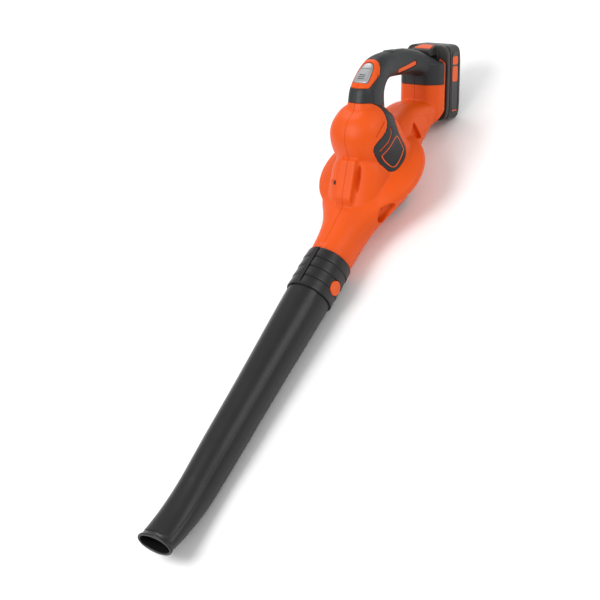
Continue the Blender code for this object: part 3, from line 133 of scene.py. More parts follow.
RECESS_WALL = 0.0030         # material kept behind a deep recess
LINE_DEPTH = 0.0012
FINE_LINE_DEPTH = 0.0008
CREASE_DEPTH = 0.0005
SPLIT_GAP = 0.00024          # each half stops this far short of the middle
RUN_CLEARANCE = 0.0006
ABOVE_GRIP = 0.275           # higher than anything on the grip
BIG = 0.6
SIDES = ((-1, "left"), (1, "right"))

# ---- frames, from the joints
joints = {joint["name"]: joint for joint in frame["joints"]}
TOOL_X = -Vector(joints["tube_slide"]["axis"]).normalized()
TOOL_Z = Vector(joints["fan_spin"]["axis"]).normalized()
TOOL_ORIGIN = Vector(joints["fan_spin"]["pos_m"]) - TOOL_X * FAN_X
TOOL = Matrix(((TOOL_X.x, 0, TOOL_Z.x, TOOL_ORIGIN.x), (0, 1, 0, 0),
               (TOOL_X.z, 0, TOOL_Z.z, TOOL_ORIGIN.z), (0, 0, 0, 1)))
GRIP = Matrix.Translation((0, 0, NECK_TOP)) @ Matrix.Rotation(GRIP_TILT, 4, "Y")
BUTTON = (GRIP @ Matrix.Translation((BUTTON_CENTRE[0], 0, BUTTON_CENTRE[1]))
          @ Matrix.Rotation(-BUTTON_SLOPE, 4, "Y"))
ALONG_X = Matrix.Rotation(math.radians(90), 4, "Y")
ALONG_Y = Matrix.Rotation(math.radians(-90), 4, "X")


# ---- materials
def nodes_of(name):
    """A new material, its node tree and its shader."""
    made = bpy.data.materials.new(name)
    made.use_nodes = True
    tree = made.node_tree
    return made, tree, tree.nodes["Principled BSDF"]


def noise_node(tree, scale, detail, place):
    noise = tree.nodes.new("ShaderNodeTexNoise")
    noise.inputs["Scale"].default_value = scale
    noise.inputs["Detail"].default_value = detail
    tree.links.new(place.outputs["Object"], noise.inputs["Vector"])
    return noise


def moulded(name, colour, rough, grain=1600.0, bump=0.12, vary=0.10, coat=0.0, metallic=0.0,
            shine=0.38):
    """Moulded plastic or rubber: faint flow marks, fine grain and uneven gloss."""
    made, tree, shader = nodes_of(name)
    place = tree.nodes.new("ShaderNodeTexCoord")
    broad = noise_node(tree, 28.0, 3.0, place)
    tint = tree.nodes.new("ShaderNodeValToRGB")
    tint.color_ramp.elements[0].position = 0.30
    tint.color_ramp.elements[1].position = 0.72
    tint.color_ramp.elements[0].color = (*[c * (1 - vary) for c in colour], 1)
    tint.color_ramp.elements[1].color = (*[min(c * (1 + vary), 1) for c in colour], 1)
    tree.links.new(broad.outputs["Fac"], tint.inputs["Fac"])
    tree.links.new(tint.outputs["Color"], shader.inputs["Base Color"])
    patch = noise_node(tree, 70.0, 4.0, place)
    spread = tree.nodes.new("ShaderNodeMapRange")
    spread.inputs["To Min"].default_value = rough - 0.05
    spread.inputs["To Max"].default_value = rough + 0.05
    tree.links.new(patch.outputs["Fac"], spread.inputs["Value"])
    tree.links.new(spread.outputs["Result"], shader.inputs["Roughness"])
    fine = noise_node(tree, grain, 2.0, place)
    relief = tree.nodes.new("ShaderNodeBump")
    relief.inputs["Strength"].default_value = bump
    relief.inputs["Distance"].default_value = 0.0003
    tree.links.new(fine.outputs["Fac"], relief.inputs["Height"])
    tree.links.new(relief.outputs["Normal"], shader.inputs["Normal"])
    shader.inputs["Metallic"].default_value = metallic
    shader.inputs["Coat Weight"].default_value = coat
    shader.inputs["Coat Roughness"].default_value = 0.25
    shader.inputs["Specular IOR Level"].default_value = shine
    return made


ORANGE = moulded("shell_orange", (0.74, 0.083, 0.002), 0.46, 1400, 0.07, 0.035,
                 shine=0.26)
ORANGE_TRIM = moulded("trim_orange", (0.76, 0.092, 0.004), 0.40, 1400, 0.05, 0.03, shine=0.3)
RUBBER = moulded("grip_rubber", (0.016, 0.0175, 0.019), 0.46, 1500, 0.20, 0.10)
TUBE_BLACK = moulded("tube_black", (0.010, 0.010, 0.0105), 0.36, 1300, 0.08, 0.10)
BUTTON_GREY = moulded("button_silver", (0.34, 0.345, 0.35), 0.38, 1800, 0.06, 0.05, 0.0, 0.45)
SLIDE_BLACK = moulded("slide_black", (0.018, 0.018, 0.019), 0.48, 1500, 0.14, 0.10)
PACK_GREY = moulded("pack_charcoal", (0.024, 0.022, 0.021), 0.44, 1500, 0.18, 0.12)
LABEL_BLACK = moulded("label_black", (0.012, 0.011, 0.011), 0.30, 900, 0.03, 0.08, 0.2)
DARK_PLASTIC = moulded("dark_plastic", (0.020, 0.020, 0.021), 0.50, 1500, 0.12, 0.10)
GREY_PLASTIC = moulded("grey_plastic", (0.10, 0.10, 0.105), 0.52, 1500, 0.12, 0.08)
STEEL = moulded("bright_steel", (0.62, 0.62, 0.64), 0.32, 2200, 0.05, 0.06, 0, 1.0)
MAGNET = moulded("magnet_grey", (0.09, 0.09, 0.095), 0.45, 2400, 0.20, 0.15, 0, 0.4)
COPPER = moulded("wound_copper", (0.72, 0.28, 0.12), 0.34, 2600, 0.20, 0.15, 0, 1.0)
BRONZE = moulded("bearing_bronze", (0.55, 0.34, 0.16), 0.36, 2400, 0.12, 0.10, 0, 1.0)
BRASS = moulded("blade_brass", (0.72, 0.52, 0.22), 0.28, 2200, 0.05, 0.06, 0, 1.0)
CARBON = moulded("carbon", (0.03, 0.03, 0.032), 0.75, 2600, 0.35, 0.2)
BOARD = moulded("board_green", (0.02, 0.16, 0.06), 0.42, 900, 0.08, 0.2, 0.2)
RED_LEAD = moulded("lead_red", (0.50, 0.015, 0.012), 0.45, 1500, 0.05, 0.06)
SCREW_BLACK = moulded("screw_black", (0.05, 0.05, 0.052), 0.38, 2200, 0.05, 0.06, 0, 1.0)
CELL_WRAP = moulded("cell_wrap", (0.03, 0.22, 0.30), 0.35, 900, 0.04, 0.08, 0.2)

NODE_LOOKS = {
    "armature": COPPER, "commutator": COPPER, "motor_shaft": STEEL, "motor_can": STEEL,
    "motor_end_cap": DARK_PLASTIC, "magnet_front": MAGNET, "magnet_rear": MAGNET,
    "carbon_brush_left": CARBON, "carbon_brush_right": CARBON, "bearing_lower": BRONZE,
    "bearing_upper": BRONZE, "impeller": DARK_PLASTIC, "impeller_nut": STEEL,
    "motor_deck": GREY_PLASTIC, "fan_scroll": GREY_PLASTIC, "inlet_ring": GREY_PLASTIC,
    "intake_grille": DARK_PLASTIC, "boost_spring": STEEL, "boost_switch": DARK_PLASTIC,
    "power_switch": DARK_PLASTIC, "speed_board": BOARD, "battery_board": BOARD,
    "terminal_block": DARK_PLASTIC, "terminal_blade_negative": BRASS,
    "terminal_blade_positive": BRASS, "battery_lead_negative": DARK_PLASTIC,
    "battery_lead_positive": RED_LEAD, "motor_lead_negative": DARK_PLASTIC,
    "motor_lead_positive": RED_LEAD, "motor_screw_left": STEEL, "motor_screw_right": STEEL,
    "battery_latch_spring": STEEL, "tube_lock_spring": STEEL}
for name, node in frame["nodes"].items():
    look = NODE_LOOKS.get(name)
    if look is None and name.startswith("screw_"):
        look = SCREW_BLACK
    if look is None and name.startswith("cell_"):
        look = CELL_WRAP
    for socket in node.material_slots:
        socket.material = look or DARK_PLASTIC


# ---- mesh helpers
def placed(name, data):
    """A new object in the scene."""
    made = bpy.data.objects.new(name, data)
    bpy.context.scene.collection.objects.link(made)
    return made


def span(side, near, far):
    """Low and high end of a stretch across one side."""
    return sorted((side * near, side * far))


def solid(bm, matrix=Matrix.Identity(4)):
    """A working body in the tool frame."""
    bm.transform(matrix)
    bmesh.ops.recalc_face_normals(bm, faces=bm.faces)
    mesh = bpy.data.meshes.new("work")
    bm.to_mesh(mesh)
    bm.free()
    return placed("work", mesh)


def drop(*pieces):
    for piece in pieces:
        mesh = piece.data
        bpy.data.objects.remove(piece)
        bpy.data.meshes.remove(mesh)


def copy_of(base):
    return placed("work", base.data.copy())


def bake(piece):
    """Apply the modifiers."""
    bpy.context.view_layer.update()
    graph = bpy.context.evaluated_depsgraph_get()
    result = bpy.data.meshes.new_from_object(piece.evaluated_get(graph))
    piece.modifiers.clear()
    old = piece.data
    piece.data = result
    bpy.data.meshes.remove(old)
    return piece


def combine(base, operation, *tools):
    """Boolean with each tool in turn, exact where the fast solver gives nothing."""
    for tool in tools:
        before = base.data.copy()
        for solver in ("MANIFOLD", "EXACT"):
            step = base.modifiers.new("step", "BOOLEAN")
            step.operation = operation
            step.solver = solver
            step.object = tool
            bake(base)
            if len(base.data.polygons) or operation == "INTERSECT" and solver == "EXACT":
                break
            base.data = before.copy()
        bpy.data.meshes.remove(before)
        drop(tool)
    return base


def remesh(piece, voxel, smoothing):
    """Melt a piece into one even skin, then soften it."""
    step = piece.modifiers.new("remesh", "REMESH")
    step.mode = "VOXEL"
    step.voxel_size = voxel
    soft = piece.modifiers.new("soft", "SMOOTH")
    soft.factor = 0.5
    soft.iterations = smoothing
    return bake(piece)


def shrunk(piece, depth):
    """A copy whose surface lies this far inside."""
    made = copy_of(piece)
    step = made.modifiers.new("in", "DISPLACE")
    step.mid_level = 0.0
    step.strength = -depth
    step.direction = "NORMAL"
    return bake(made)


def publish(base, name, look, body, *nodes, slot=None, angle=30):
    """Turn a tool-frame working body into a finished piece on a CAD body."""
    bm = bmesh.new()
    bm.from_mesh(base.data)
    bmesh.ops.remove_doubles(bm, verts=bm.verts, dist=0.000004)
    bmesh.ops.dissolve_degenerate(bm, edges=bm.edges, dist=0.000004)
    bm.transform(TOOL)
    bmesh.ops.recalc_face_normals(bm, faces=bm.faces)
    mesh = bpy.data.meshes.new(name)
    bm.to_mesh(mesh)
    bm.free()
    drop(base)
    mesh.materials.append(look)
    mesh.shade_smooth()
    mesh.set_sharp_from_angle(angle=math.radians(angle))
    made = placed(name, mesh)
    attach(made, body)
    if nodes:
        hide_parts(*nodes)
    return made


def loft(rings):
    """A closed body skinned over equal rings."""
    bm = bmesh.new()
    rows = [[bm.verts.new(point) for point in ring] for ring in rings]
    count = len(rows[0])
    for row, following in zip(rows, rows[1:]):
        for i in range(count):
            j = (i + 1) % count
            bm.faces.new((row[i], row[j], following[j], following[i]))
    bm.faces.new(rows[0])
    bm.faces.new(list(reversed(rows[-1])))
    return bm


def tunnel(outer, inner):
    """A tube wall between two lists of rings, closed at both ends."""
    bm = bmesh.new()
    loop = outer + list(reversed(inner))
    rows = [[bm.verts.new(point) for point in ring] for ring in loop]
    count = len(rows[0])
    for row, following in zip(rows, rows[1:] + rows[:1]):
        for i in range(count):
            j = (i + 1) % count
            bm.faces.new((row[i], row[j], following[j], following[i]))
    return bm


def catmull(points, steps, closed=False):
    """Points on a smooth curve through the given ones."""
    points = [Vector(p) for p in points]
    if closed:
        padded = points[-1:] + points + points[:2]
    else:
        padded = [points[0] * 2 - points[1]] + points + [points[-1] * 2 - points[-2]]
    made = []
    for a, b, c, d in zip(padded, padded[1:], padded[2:], padded[3:]):
        for i in range(steps):
            t = i / steps
            made.append(0.5 * ((2 * b) + (c - a) * t + (2 * a - 5 * b + 4 * c - d) * t * t
                               + (3 * b - a - 3 * c + d) * t ** 3))
    if not closed:
        made.append(points[-1])
    return made


def rounded(run, steps=4):
    """A smooth closed outline through the given points."""
    return [(p.x, p.y) for p in catmull(run, steps, closed=True)]


def circle(x, radius, count):
    """A round ring across the tool's length."""
    angles = [2 * math.pi * k / count for k in range(count)]
    return [Vector((x, radius * math.sin(a), radius * math.cos(a))) for a in angles]


def across(x, z):
    """Places a Z-axis body across the tool, along y."""
    return Matrix.Translation((x, 0, z)) @ ALONG_Y


def smooth_rings(rings, steps):
    """More rings between the given ones, on smooth curves."""
    columns = [catmull(column, steps) for column in zip(*rings)]
    return [list(ring) for ring in zip(*columns)]


def oval(half_width, half_height, power=2.0, count=32):
    """Points on a superellipse: a power of 2 is an ellipse, more is squarer."""
    points = []
    for i in range(count):
        angle = 2 * math.pi * (i + 0.5) / count
        c, s = math.cos(angle), math.sin(angle)
        points.append((half_width * math.copysign(abs(c) ** (2 / power), c),
                       half_height * math.copysign(abs(s) ** (2 / power), s)))
    return points


def upright_ring(x, z, half_width, half_height, tilt=0.0, power=2.0, count=48):
    """An oval standing across the tool's length."""
    return [Vector((x + h * math.sin(tilt), y, z + h * math.cos(tilt)))
            for y, h in oval(half_width, half_height, power, count)]


def lathe(profile, count=72, centre=(0, 0)):
    """Turn (radius, height) points about Z; both ends lie on the axis."""
    bm = bmesh.new()
    cx, cy = centre
    bottom = bm.verts.new((cx, cy, profile[0][1]))
    top = bm.verts.new((cx, cy, profile[-1][1]))
    rows = []
    for radius, height in profile[1:-1]:
        rows.append([bm.verts.new((cx + radius * math.cos(2 * math.pi * i / count),
                                   cy + radius * math.sin(2 * math.pi * i / count), height))
                     for i in range(count)])
    for i in range(count):
        j = (i + 1) % count
        bm.faces.new((bottom, rows[0][j], rows[0][i]))
        bm.faces.new((top, rows[-1][i], rows[-1][j]))
        for row, following in zip(rows, rows[1:]):
            bm.faces.new((row[i], row[j], following[j], following[i]))
    return bm


def cylinder(radius, start, end, count=40):
    return loft([[Vector((radius * math.cos(2 * math.pi * i / count),
                          radius * math.sin(2 * math.pi * i / count), h))
                  for i in range(count)] for h in (start, end)])


def box(low, high):
    bm = bmesh.new()
    bmesh.ops.create_cube(bm, size=1.0)
    size = Vector(high) - Vector(low)
    middle = (Vector(high) + Vector(low)) / 2
    bm.transform(Matrix.Translation(middle) @ Matrix.Diagonal((*size, 1)))
    return bm


def prism(outline, low, high):
    """An (x, z) outline drawn out along y."""
    return loft([[Vector((x, y, z)) for x, z in outline] for y in (low, high)])


def slab(outline, low, high):
    """An (x, y) outline drawn out along z."""
    return loft([[Vector((x, y, z)) for x, y in outline] for z in (low, high)])


def bar(outline, front, rear):
    """A (y, z) outline drawn out along x."""
    return loft([[Vector((x, y, z)) for y, z in outline] for x in (front, rear)])


def ball(centre, radii, turn=Matrix.Identity(4)):
    """An ellipsoid."""
    bm = bmesh.new()
    bmesh.ops.create_uvsphere(bm, u_segments=48, v_segments=28, radius=1.0)
    bm.transform(Matrix.Translation(centre) @ turn @ Matrix.Diagonal((*radii, 1)))
    return bm


def grown(outline, grow):
    """An outline moved out by a constant distance."""
    points = [Vector(p) for p in outline]
    ahead = points[1:] + points[:1]
    turn = sum(a.x * b.y - b.x * a.y for a, b in zip(points, ahead))
    normals = []
    for a, b in zip(points, ahead):
        along = (b - a).normalized()
        normals.append(Vector((along.y, -along.x)) * math.copysign(1, turn))
    moved = []
    for point, before, after in zip(points, normals[-1:] + normals[:-1], normals):
        corner = point + (before + after) * grow / max(1 + before.dot(after), 0.3)
        moved.append((corner.x, corner.y))
    return moved


def ribbon(points, half):
    """Outline of a rounded strip that follows a smooth (x, z) run."""
    run = catmull(points, 6)
    left, right = [], []
    for i, point in enumerate(run):
        ahead = run[min(i + 1, len(run) - 1)] - run[max(i - 1, 0)]
        side = Vector((-ahead.y, ahead.x)).normalized() * half
        left.append(point + side)
        right.append(point - side)
    first = (run[0] - run[1]).normalized() * half
    last = (run[-1] - run[-2]).normalized() * half
    turns = [math.pi * k / 6 for k in range(1, 6)]
    start = [run[0] + (right[0] - run[0]) * math.cos(a) + first * math.sin(a) for a in turns]
    end = [run[-1] + (left[-1] - run[-1]) * math.cos(a) + last * math.sin(a) for a in turns]
    outline = left + end + list(reversed(right)) + start
    return [(p.x, p.y) for p in outline]


# ---- housing forms
# Each form takes an inset, for the hollow, and whether its rings are fine, for the skin.
def neck_form(inset, fine):
    rows = ((inset, 0.000, NECK_RADIUS, NECK_RADIUS - 0.0005), (0.030, 0.001, 0.0322, 0.0312),
            (0.052, 0.004, 0.0362, 0.0300), (0.071, 0.008, 0.0450, 0.0272),
            (0.092, 0.012, 0.0590, 0.0225), (0.112, 0.0145, 0.0690, 0.0175),
            (0.132, 0.016, 0.0740, 0.0140))
    rings = [upright_ring(x, z, half - inset, tall - inset, 0.0, 2.0 + x * 3, 64 if fine else 20)
             for x, z, half, tall in rows]
    return loft(smooth_rings(rings, 4) if fine else rings)


def case_form(inset, fine):
    span = CASE_RADIUS - BELLY_RADIUS
    drop_height = CASE_RIM_LOW + BELLY_DEPTH
    profile = [(0, -BELLY_DEPTH), (BELLY_RADIUS, -BELLY_DEPTH),
               (BELLY_RADIUS + span * 0.12, -BELLY_DEPTH + drop_height * 0.08),
               (BELLY_RADIUS + span * 0.42, -BELLY_DEPTH + drop_height * 0.45),
               (BELLY_RADIUS + span * 0.70, -BELLY_DEPTH + drop_height * 0.74),
               (CASE_RADIUS - 0.0010, CASE_RIM_LOW), (CASE_RADIUS, CASE_RIM_HIGH),
               (CASE_RADIUS - 0.0025, CASE_RIM_HIGH + 0.0045),
               (CASE_RADIUS * 0.81, CASE_RIM_HIGH + 0.0105), (0.045, CASE_CROWN - 0.003),
               (0, CASE_CROWN)]
    middle = (CASE_RIM_LOW + CASE_RIM_HIGH) / 2
    profile = [(max(r - inset, 0), h + inset if h < middle else h - inset) for r, h in profile]
    if fine:
        profile = [(r * RIM_SHARE, h) for r, h in profile]
        inner = [(p.x, p.y) for p in catmull(profile[1:-1], 4)]
        profile = [profile[0]] + inner + [profile[-1]]
    return lathe(profile, 128 if fine else 30, (FAN_X, 0))


def bulge_form(inset, fine):
    rows = ((0.018, -0.0165, 1.290, 1.375), (0.030, -0.0115, 1.194, 1.188),
            (0.041, -0.0045, 1.075, 1.073), (0.054, -0.0005, 1.011, 1.010),
            (0.072, 0, 1.00, 1.00), (0.090, 0, 0.93, 0.93), (0.104, 0, 0.80, 0.80),
            (0.113, 0, 0.60, 0.60), (0.1185, 0, 0.36, 0.36), (BULGE_TOP, 0, 0.12, 0.12))
    top = BULGE_TOP - inset
    rings = []
    for z, shift, long_share, wide_share in rows:
        length = max(BULGE_HALF_LENGTH * long_share - inset, 0.002)
        width = max(BULGE_HALF_WIDTH * wide_share - inset, 0.002)
        height = z if z < 0.09 else top - (BULGE_TOP - z)
        rings.append([Vector((BULGE_X + shift + a, b, height))
                      for a, b in oval(length, width, 2.3, 64 if fine else 20)])
    return loft(smooth_rings(rings, 4) if fine else rings)


def shoulder_form(inset, fine):
    rows = ((0.066, 0.0325, 0.0385), (0.085, 0.0420, 0.0430), (0.100, 0.0540, 0.0455),
            (0.115, 0.0655, 0.0470), (0.130, 0.0745, 0.0475), (0.160, 0.0750, 0.0450))
    low = -0.020
    rings = [upright_ring(x, (top + low) / 2, half - inset, (top - low) / 2 - inset, 0, 2.0,
                          64 if fine else 19) for x, top, half in rows]
    return loft(smooth_rings(rings, 4) if fine else rings)


def rib_form(inset, fine):
    half = 0.0135 - inset
    outline = ((0.073 + inset, 0.020), (0.073 + inset, 0.037 - inset),
               (0.077 + inset, 0.046 - inset), (0.122, 0.077 - inset),
               (0.140, 0.072), (0.140, 0.020))
    return prism(outline, -half, half)


def strut_form(inset, fine):
    rows = ((0.180, 0.054, -0.022, 0.036), (0.220, 0.050, -0.022, 0.034),
            (0.250, 0.044, -0.021, 0.032), (0.276, 0.030, -0.019, 0.031),
            (0.296, 0.012, -0.015, 0.030))
    rings = [upright_ring(x, (top + low) / 2, half - inset, (top - low) / 2 - inset, 0, 3.2,
                          64 if fine else 15) for x, top, low, half in rows]
    return loft(smooth_rings(rings, 4) if fine else rings)


def grip_form(inset, fine):
    rows = (((0.072, 0.170), (0.136, 0.148), 0.0265), ((0.077, 0.195), (0.133, 0.178), 0.0225),
            ((0.0815, 0.213), (0.131, 0.202), 0.0215), ((0.097, 0.2345), (0.136, 0.214), 0.0200),
            ((0.118, 0.2515), (0.145, 0.2205), 0.0183), ((0.146, 0.2585), (0.158, 0.2225), 0.0168),
            ((0.188, 0.2605), (0.186, 0.2230), 0.0168), ((0.217, 0.2575), (0.212, 0.2225), 0.0198),
            ((0.242, 0.2490), (0.240, 0.2150), 0.0258))
    rings = []
    for outer, inner, half in rows:
        outer, inner = Vector(outer), Vector(inner)
        middle, reach = (outer + inner) / 2, (outer - inner)
        up = reach.normalized()
        tall = reach.length / 2 - inset
        rings.append([Vector((middle.x + up.x * h, y, middle.y + up.y * h))
                      for y, h in oval(half - inset, tall, 2.5, 64 if fine else 20)])
    bm = loft(smooth_rings(rings, 5) if fine else rings)
    bm.transform(GRIP)
    return bm


def receiver_form(inset, fine):
    rings = []
    slope = math.tan(GRIP_TILT)
    for z, share in ((0.140, 1.0), (0.205, 1.0), (RECEIVER_SHOULDER, 1.0),
                     (RECEIVER_RIDGE - 0.0065, 0.62), (RECEIVER_RIDGE, 0.20)):
        height = z - inset if z > 0.2 else z + inset
        lean = slope if z < 0.15 else 0.0
        front, rear = RECEIVER_FRONT + inset, RECEIVER_REAR - inset
        face = max(RECEIVER_FACE * share - inset, 0.003)
        side = max(RECEIVER_SIDE * share - inset, 0.005)
        deep = rear - front
        flare = side - face
        half = [(front, face * 0.5), (front, face), (front + deep * 0.12, face + flare * 0.42),
                (front + deep * 0.45, face + flare * 0.86), (front + deep * 0.75, side),
                (rear, side)]
        if fine:
            half = [(p.x, p.y) for p in catmull(half[:-1], 5)] + half[-1:]
        plan = half + [(x, -y) for x, y in reversed(half)]
        rings.append([Vector((x, y, height + (x - RECEIVER_FRONT) * lean)) for x, y in plan])
    bm = loft(rings)
    bm.transform(GRIP)
    return bm


FORMS = (case_form, bulge_form, shoulder_form, rib_form, strut_form, grip_form, receiver_form,
         neck_form)


def outer_body():
    """All forms melted into one smooth moulded shape."""
    whole = bmesh.new()
    for make in FORMS:
        part = make(0.0, True)
        bmesh.ops.recalc_face_normals(part, faces=part.faces)
        mesh = bpy.data.meshes.new("part")
        part.to_mesh(mesh)
        part.free()
        whole.from_mesh(mesh)
        bpy.data.meshes.remove(mesh)
    mesh = bpy.data.meshes.new("work")
    whole.to_mesh(mesh)
    whole.free()
    return remesh(placed("work", mesh), VOXEL, 10)


# ---- zones, seen from the side
GRIP_ZONE = ((0.060, 0.1935), (0.110, 0.1935), (0.122, 0.186), (0.140, 0.180), (0.160, 0.205),
             (0.222, 0.2055), (0.2545, 0.2055), (0.2545, 0.275), (0.124, 0.275), (0.1185, 0.2510),
             (0.1155, 0.2405), (0.1110, 0.2310), (0.1040, 0.2205), (0.0975, 0.2135),
             (0.060, 0.2125))
FLANK_RUN = ((0.183, 0.131), (0.1925, 0.1195), (0.1985, 0.1095), (0.1955, 0.1040), (0.1890, 0.0985),
             (0.1820, 0.0930), (0.1720, 0.0892), (0.160, 0.0885), (0.149, 0.0872), (0.1425, 0.0830),
             (0.1395, 0.0750), (0.1385, 0.0620), (0.1385, 0.0480), (0.1400, 0.0395),
             (0.1460, 0.0360), (0.1580, 0.0352), (0.1700, 0.0352), (0.1795, 0.0375),
             (0.1860, 0.0430), (0.1885, 0.0530), (0.1895, 0.0640), (0.1930, 0.0730),
             (0.1985, 0.0785), (0.2070, 0.0800), (0.2075, 0.0855), (0.2045, 0.0905),
             (0.2100, 0.0985), (0.2180, 0.1060), (0.2350, 0.1130), (0.2350, 0.1310))
SLOT_RUN = ((0.1460, 0.0740), (0.1530, 0.0752), (0.1620, 0.0755), (0.1700, 0.0768),
            (0.1770, 0.0800), (0.1810, 0.0850))
GROOVE_RUN = ((0.1540, 0.0950), (0.1610, 0.0968), (0.1700, 0.0980), (0.1790, 0.0982))
FRAME_RUN = ((0.1445, 0.0640), (0.1452, 0.0480), (0.1475, 0.0410), (0.1560, 0.0400),
             (0.1740, 0.0425), (0.1800, 0.0450), (0.1822, 0.0540), (0.1822, 0.0650),
             (0.1780, 0.0690), (0.1580, 0.0680), (0.1470, 0.0668))


def flank_outline(grow=0.0):
    return grown(rounded(FLANK_RUN), grow)


def overmould_zone(grow):
    """Block of everything the soft overmould covers: grip, band, flank strip and badge."""
    zone = solid(prism(grown(GRIP_ZONE, grow), -0.12, 0.12), GRIP)
    for side, _ in SIDES:
        flank = prism(flank_outline(grow), *span(side, 0.012 - grow, 0.11))
        combine(zone, "UNION", solid(flank))
    for side, _ in SIDES:
        slot = prism(ribbon(SLOT_RUN, 0.0011 - grow), *span(side, 0.010, 0.13))
        combine(zone, "DIFFERENCE", solid(slot))
    return zone


ARCH_RUN = ((0.0745, 0.0080), (0.0810, 0.0185), (0.0905, 0.0225), (0.1010, 0.0200),
            (0.1010, 0.0120), (0.0900, 0.0050), (0.0800, 0.0010))
PAD_RUN = ((0.2200, 0.0225), (0.2300, 0.0285), (0.2430, 0.0300), (0.2600, 0.0230),
           (0.2710, 0.0120), (0.2715, 0.0030), (0.2620, -0.0020), (0.2470, -0.0025),
           (0.2330, 0.0050))
SCOOP_RUN = ((0.2175, 0.0200), (0.2285, 0.0262), (0.2395, 0.0300), (0.2402, 0.0160),
             (0.2390, -0.0010), (0.2280, 0.0085))
INLAY_RUN = ((0.1655, 0.2318), (0.1830, 0.2352), (0.2005, 0.2398))


def shield(grow):
    """Outline of the boost button: square at the bottom, round at the top."""
    points = [(-BUTTON_HALF_LENGTH, -0.0080), (-BUTTON_HALF_LENGTH + 0.0012, -0.0112),
              (-BUTTON_HALF_LENGTH + 0.0045, -0.0123), (-0.004, -0.0120), (0.006, -0.0108),
              (0.0125, -0.0088), (0.0165, -0.0052), (BUTTON_HALF_LENGTH, 0.0)]
    points = points + [(x, -y) for x, y in reversed(points[:-1])]
    run = catmull(points, 3)
    return grown([(p.x, p.y) for p in run], grow)


def button_block(grow, low, high):
    return solid(slab(shield(grow), low, high), BUTTON)


def slider_outline(grow, extra):
    start, end = SLIDER_START - grow, SLIDER_START + SLIDER_LENGTH + grow + extra
    middle, half = (start + end) / 2, (end - start) / 2
    return [(middle + a, b) for a, b in oval(half, SLIDER_HALF_WIDTH + grow, 6.0, 44)]


def rail_channel():
    """The T-shaped channel that the pack's rail slides down."""
    rear = RECEIVER_REAR + 0.0030
    front = RECEIVER_REAR - RAIL_DEPTH - GAP
    lip = RECEIVER_REAR - RAIL_LIP + GAP
    wide, mouth = RAIL_HALF + GAP, RAIL_MOUTH_HALF + GAP
    outline = ((front, -wide), (lip, -wide), (lip, -mouth), (rear, -mouth), (rear, mouth),
               (lip, mouth), (lip, wide), (front, wide))
    return solid(slab(outline, RAIL_BOTTOM - RUN_CLEARANCE, ABOVE_GRIP), GRIP)


# ---- housing and overmould
def recessed(outer):
    """The shell with its moulded recesses, and the blocks that keep a wall behind them."""
    shaped = copy_of(outer)
    backing = []
    for side, _ in SIDES:
        if side < 0:
            tilt = Matrix.Rotation(math.radians(-34), 4, "Y")
            lens = (0.1045, side * 0.0168, 0.0575)
            combine(shaped, "DIFFERENCE", solid(ball(lens, (0.0215, 0.0036, 0.0085), tilt)))
            backing.append(solid(ball(lens, (0.0250, 0.0068, 0.0120), tilt)))
        for run, depth in ((ARCH_RUN, ARCH_DEPTH), (SCOOP_RUN, SCOOP_DEPTH), (PAD_RUN, PAD_DEPTH)):
            outline = rounded(run)
            cut = combine(solid(prism(outline, *span(side, 0.0200, 0.095))), "DIFFERENCE",
                          shrunk(outer, depth))
            combine(shaped, "DIFFERENCE", cut)
            if depth > PAD_DEPTH:
                wider = prism(grown(outline, RECESS_WALL), *span(side, 0.0220, 0.095))
                backing.append(combine(solid(wider), "DIFFERENCE",
                                       shrunk(outer, depth + RECESS_WALL)))
    # little raised lip over the collar
    lip = solid(ball((0.0040, 0.0, NECK_RADIUS - 0.0012), (0.0048, 0.0085, 0.0026)))
    combine(shaped, "UNION", lip)
    return shaped, backing


def engrave(body, outer):
    """Engraved lines on the bulge and beside the bezel."""
    bezel_run = ((0.0965, 0.2170), (0.1020, 0.2235), (0.1075, 0.2320))
    for side, _ in SIDES:
        groove = solid(prism(ribbon(GROOVE_RUN, 0.0009), *span(side, 0.020, 0.13)))
        combine(body, "DIFFERENCE", combine(groove, "DIFFERENCE", shrunk(outer, LINE_DEPTH)))
        groove = solid(prism(ribbon(bezel_run, 0.0005), *span(side, 0.010, 0.13)), GRIP)
        combine(body, "DIFFERENCE",
                combine(groove, "DIFFERENCE", shrunk(outer, FINE_LINE_DEPTH)))


def screw_places():
    """(x, z, half depth) of every housing screw, from the CAD."""
    places = []
    for name in frame["nodes"]:
        if name.startswith("screw_"):
            low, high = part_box(name)
            middle = TOOL.inverted() @ ((low + high) / 2)
            places.append((middle.x, middle.z, high.y + SCREW_SINK))
    return places


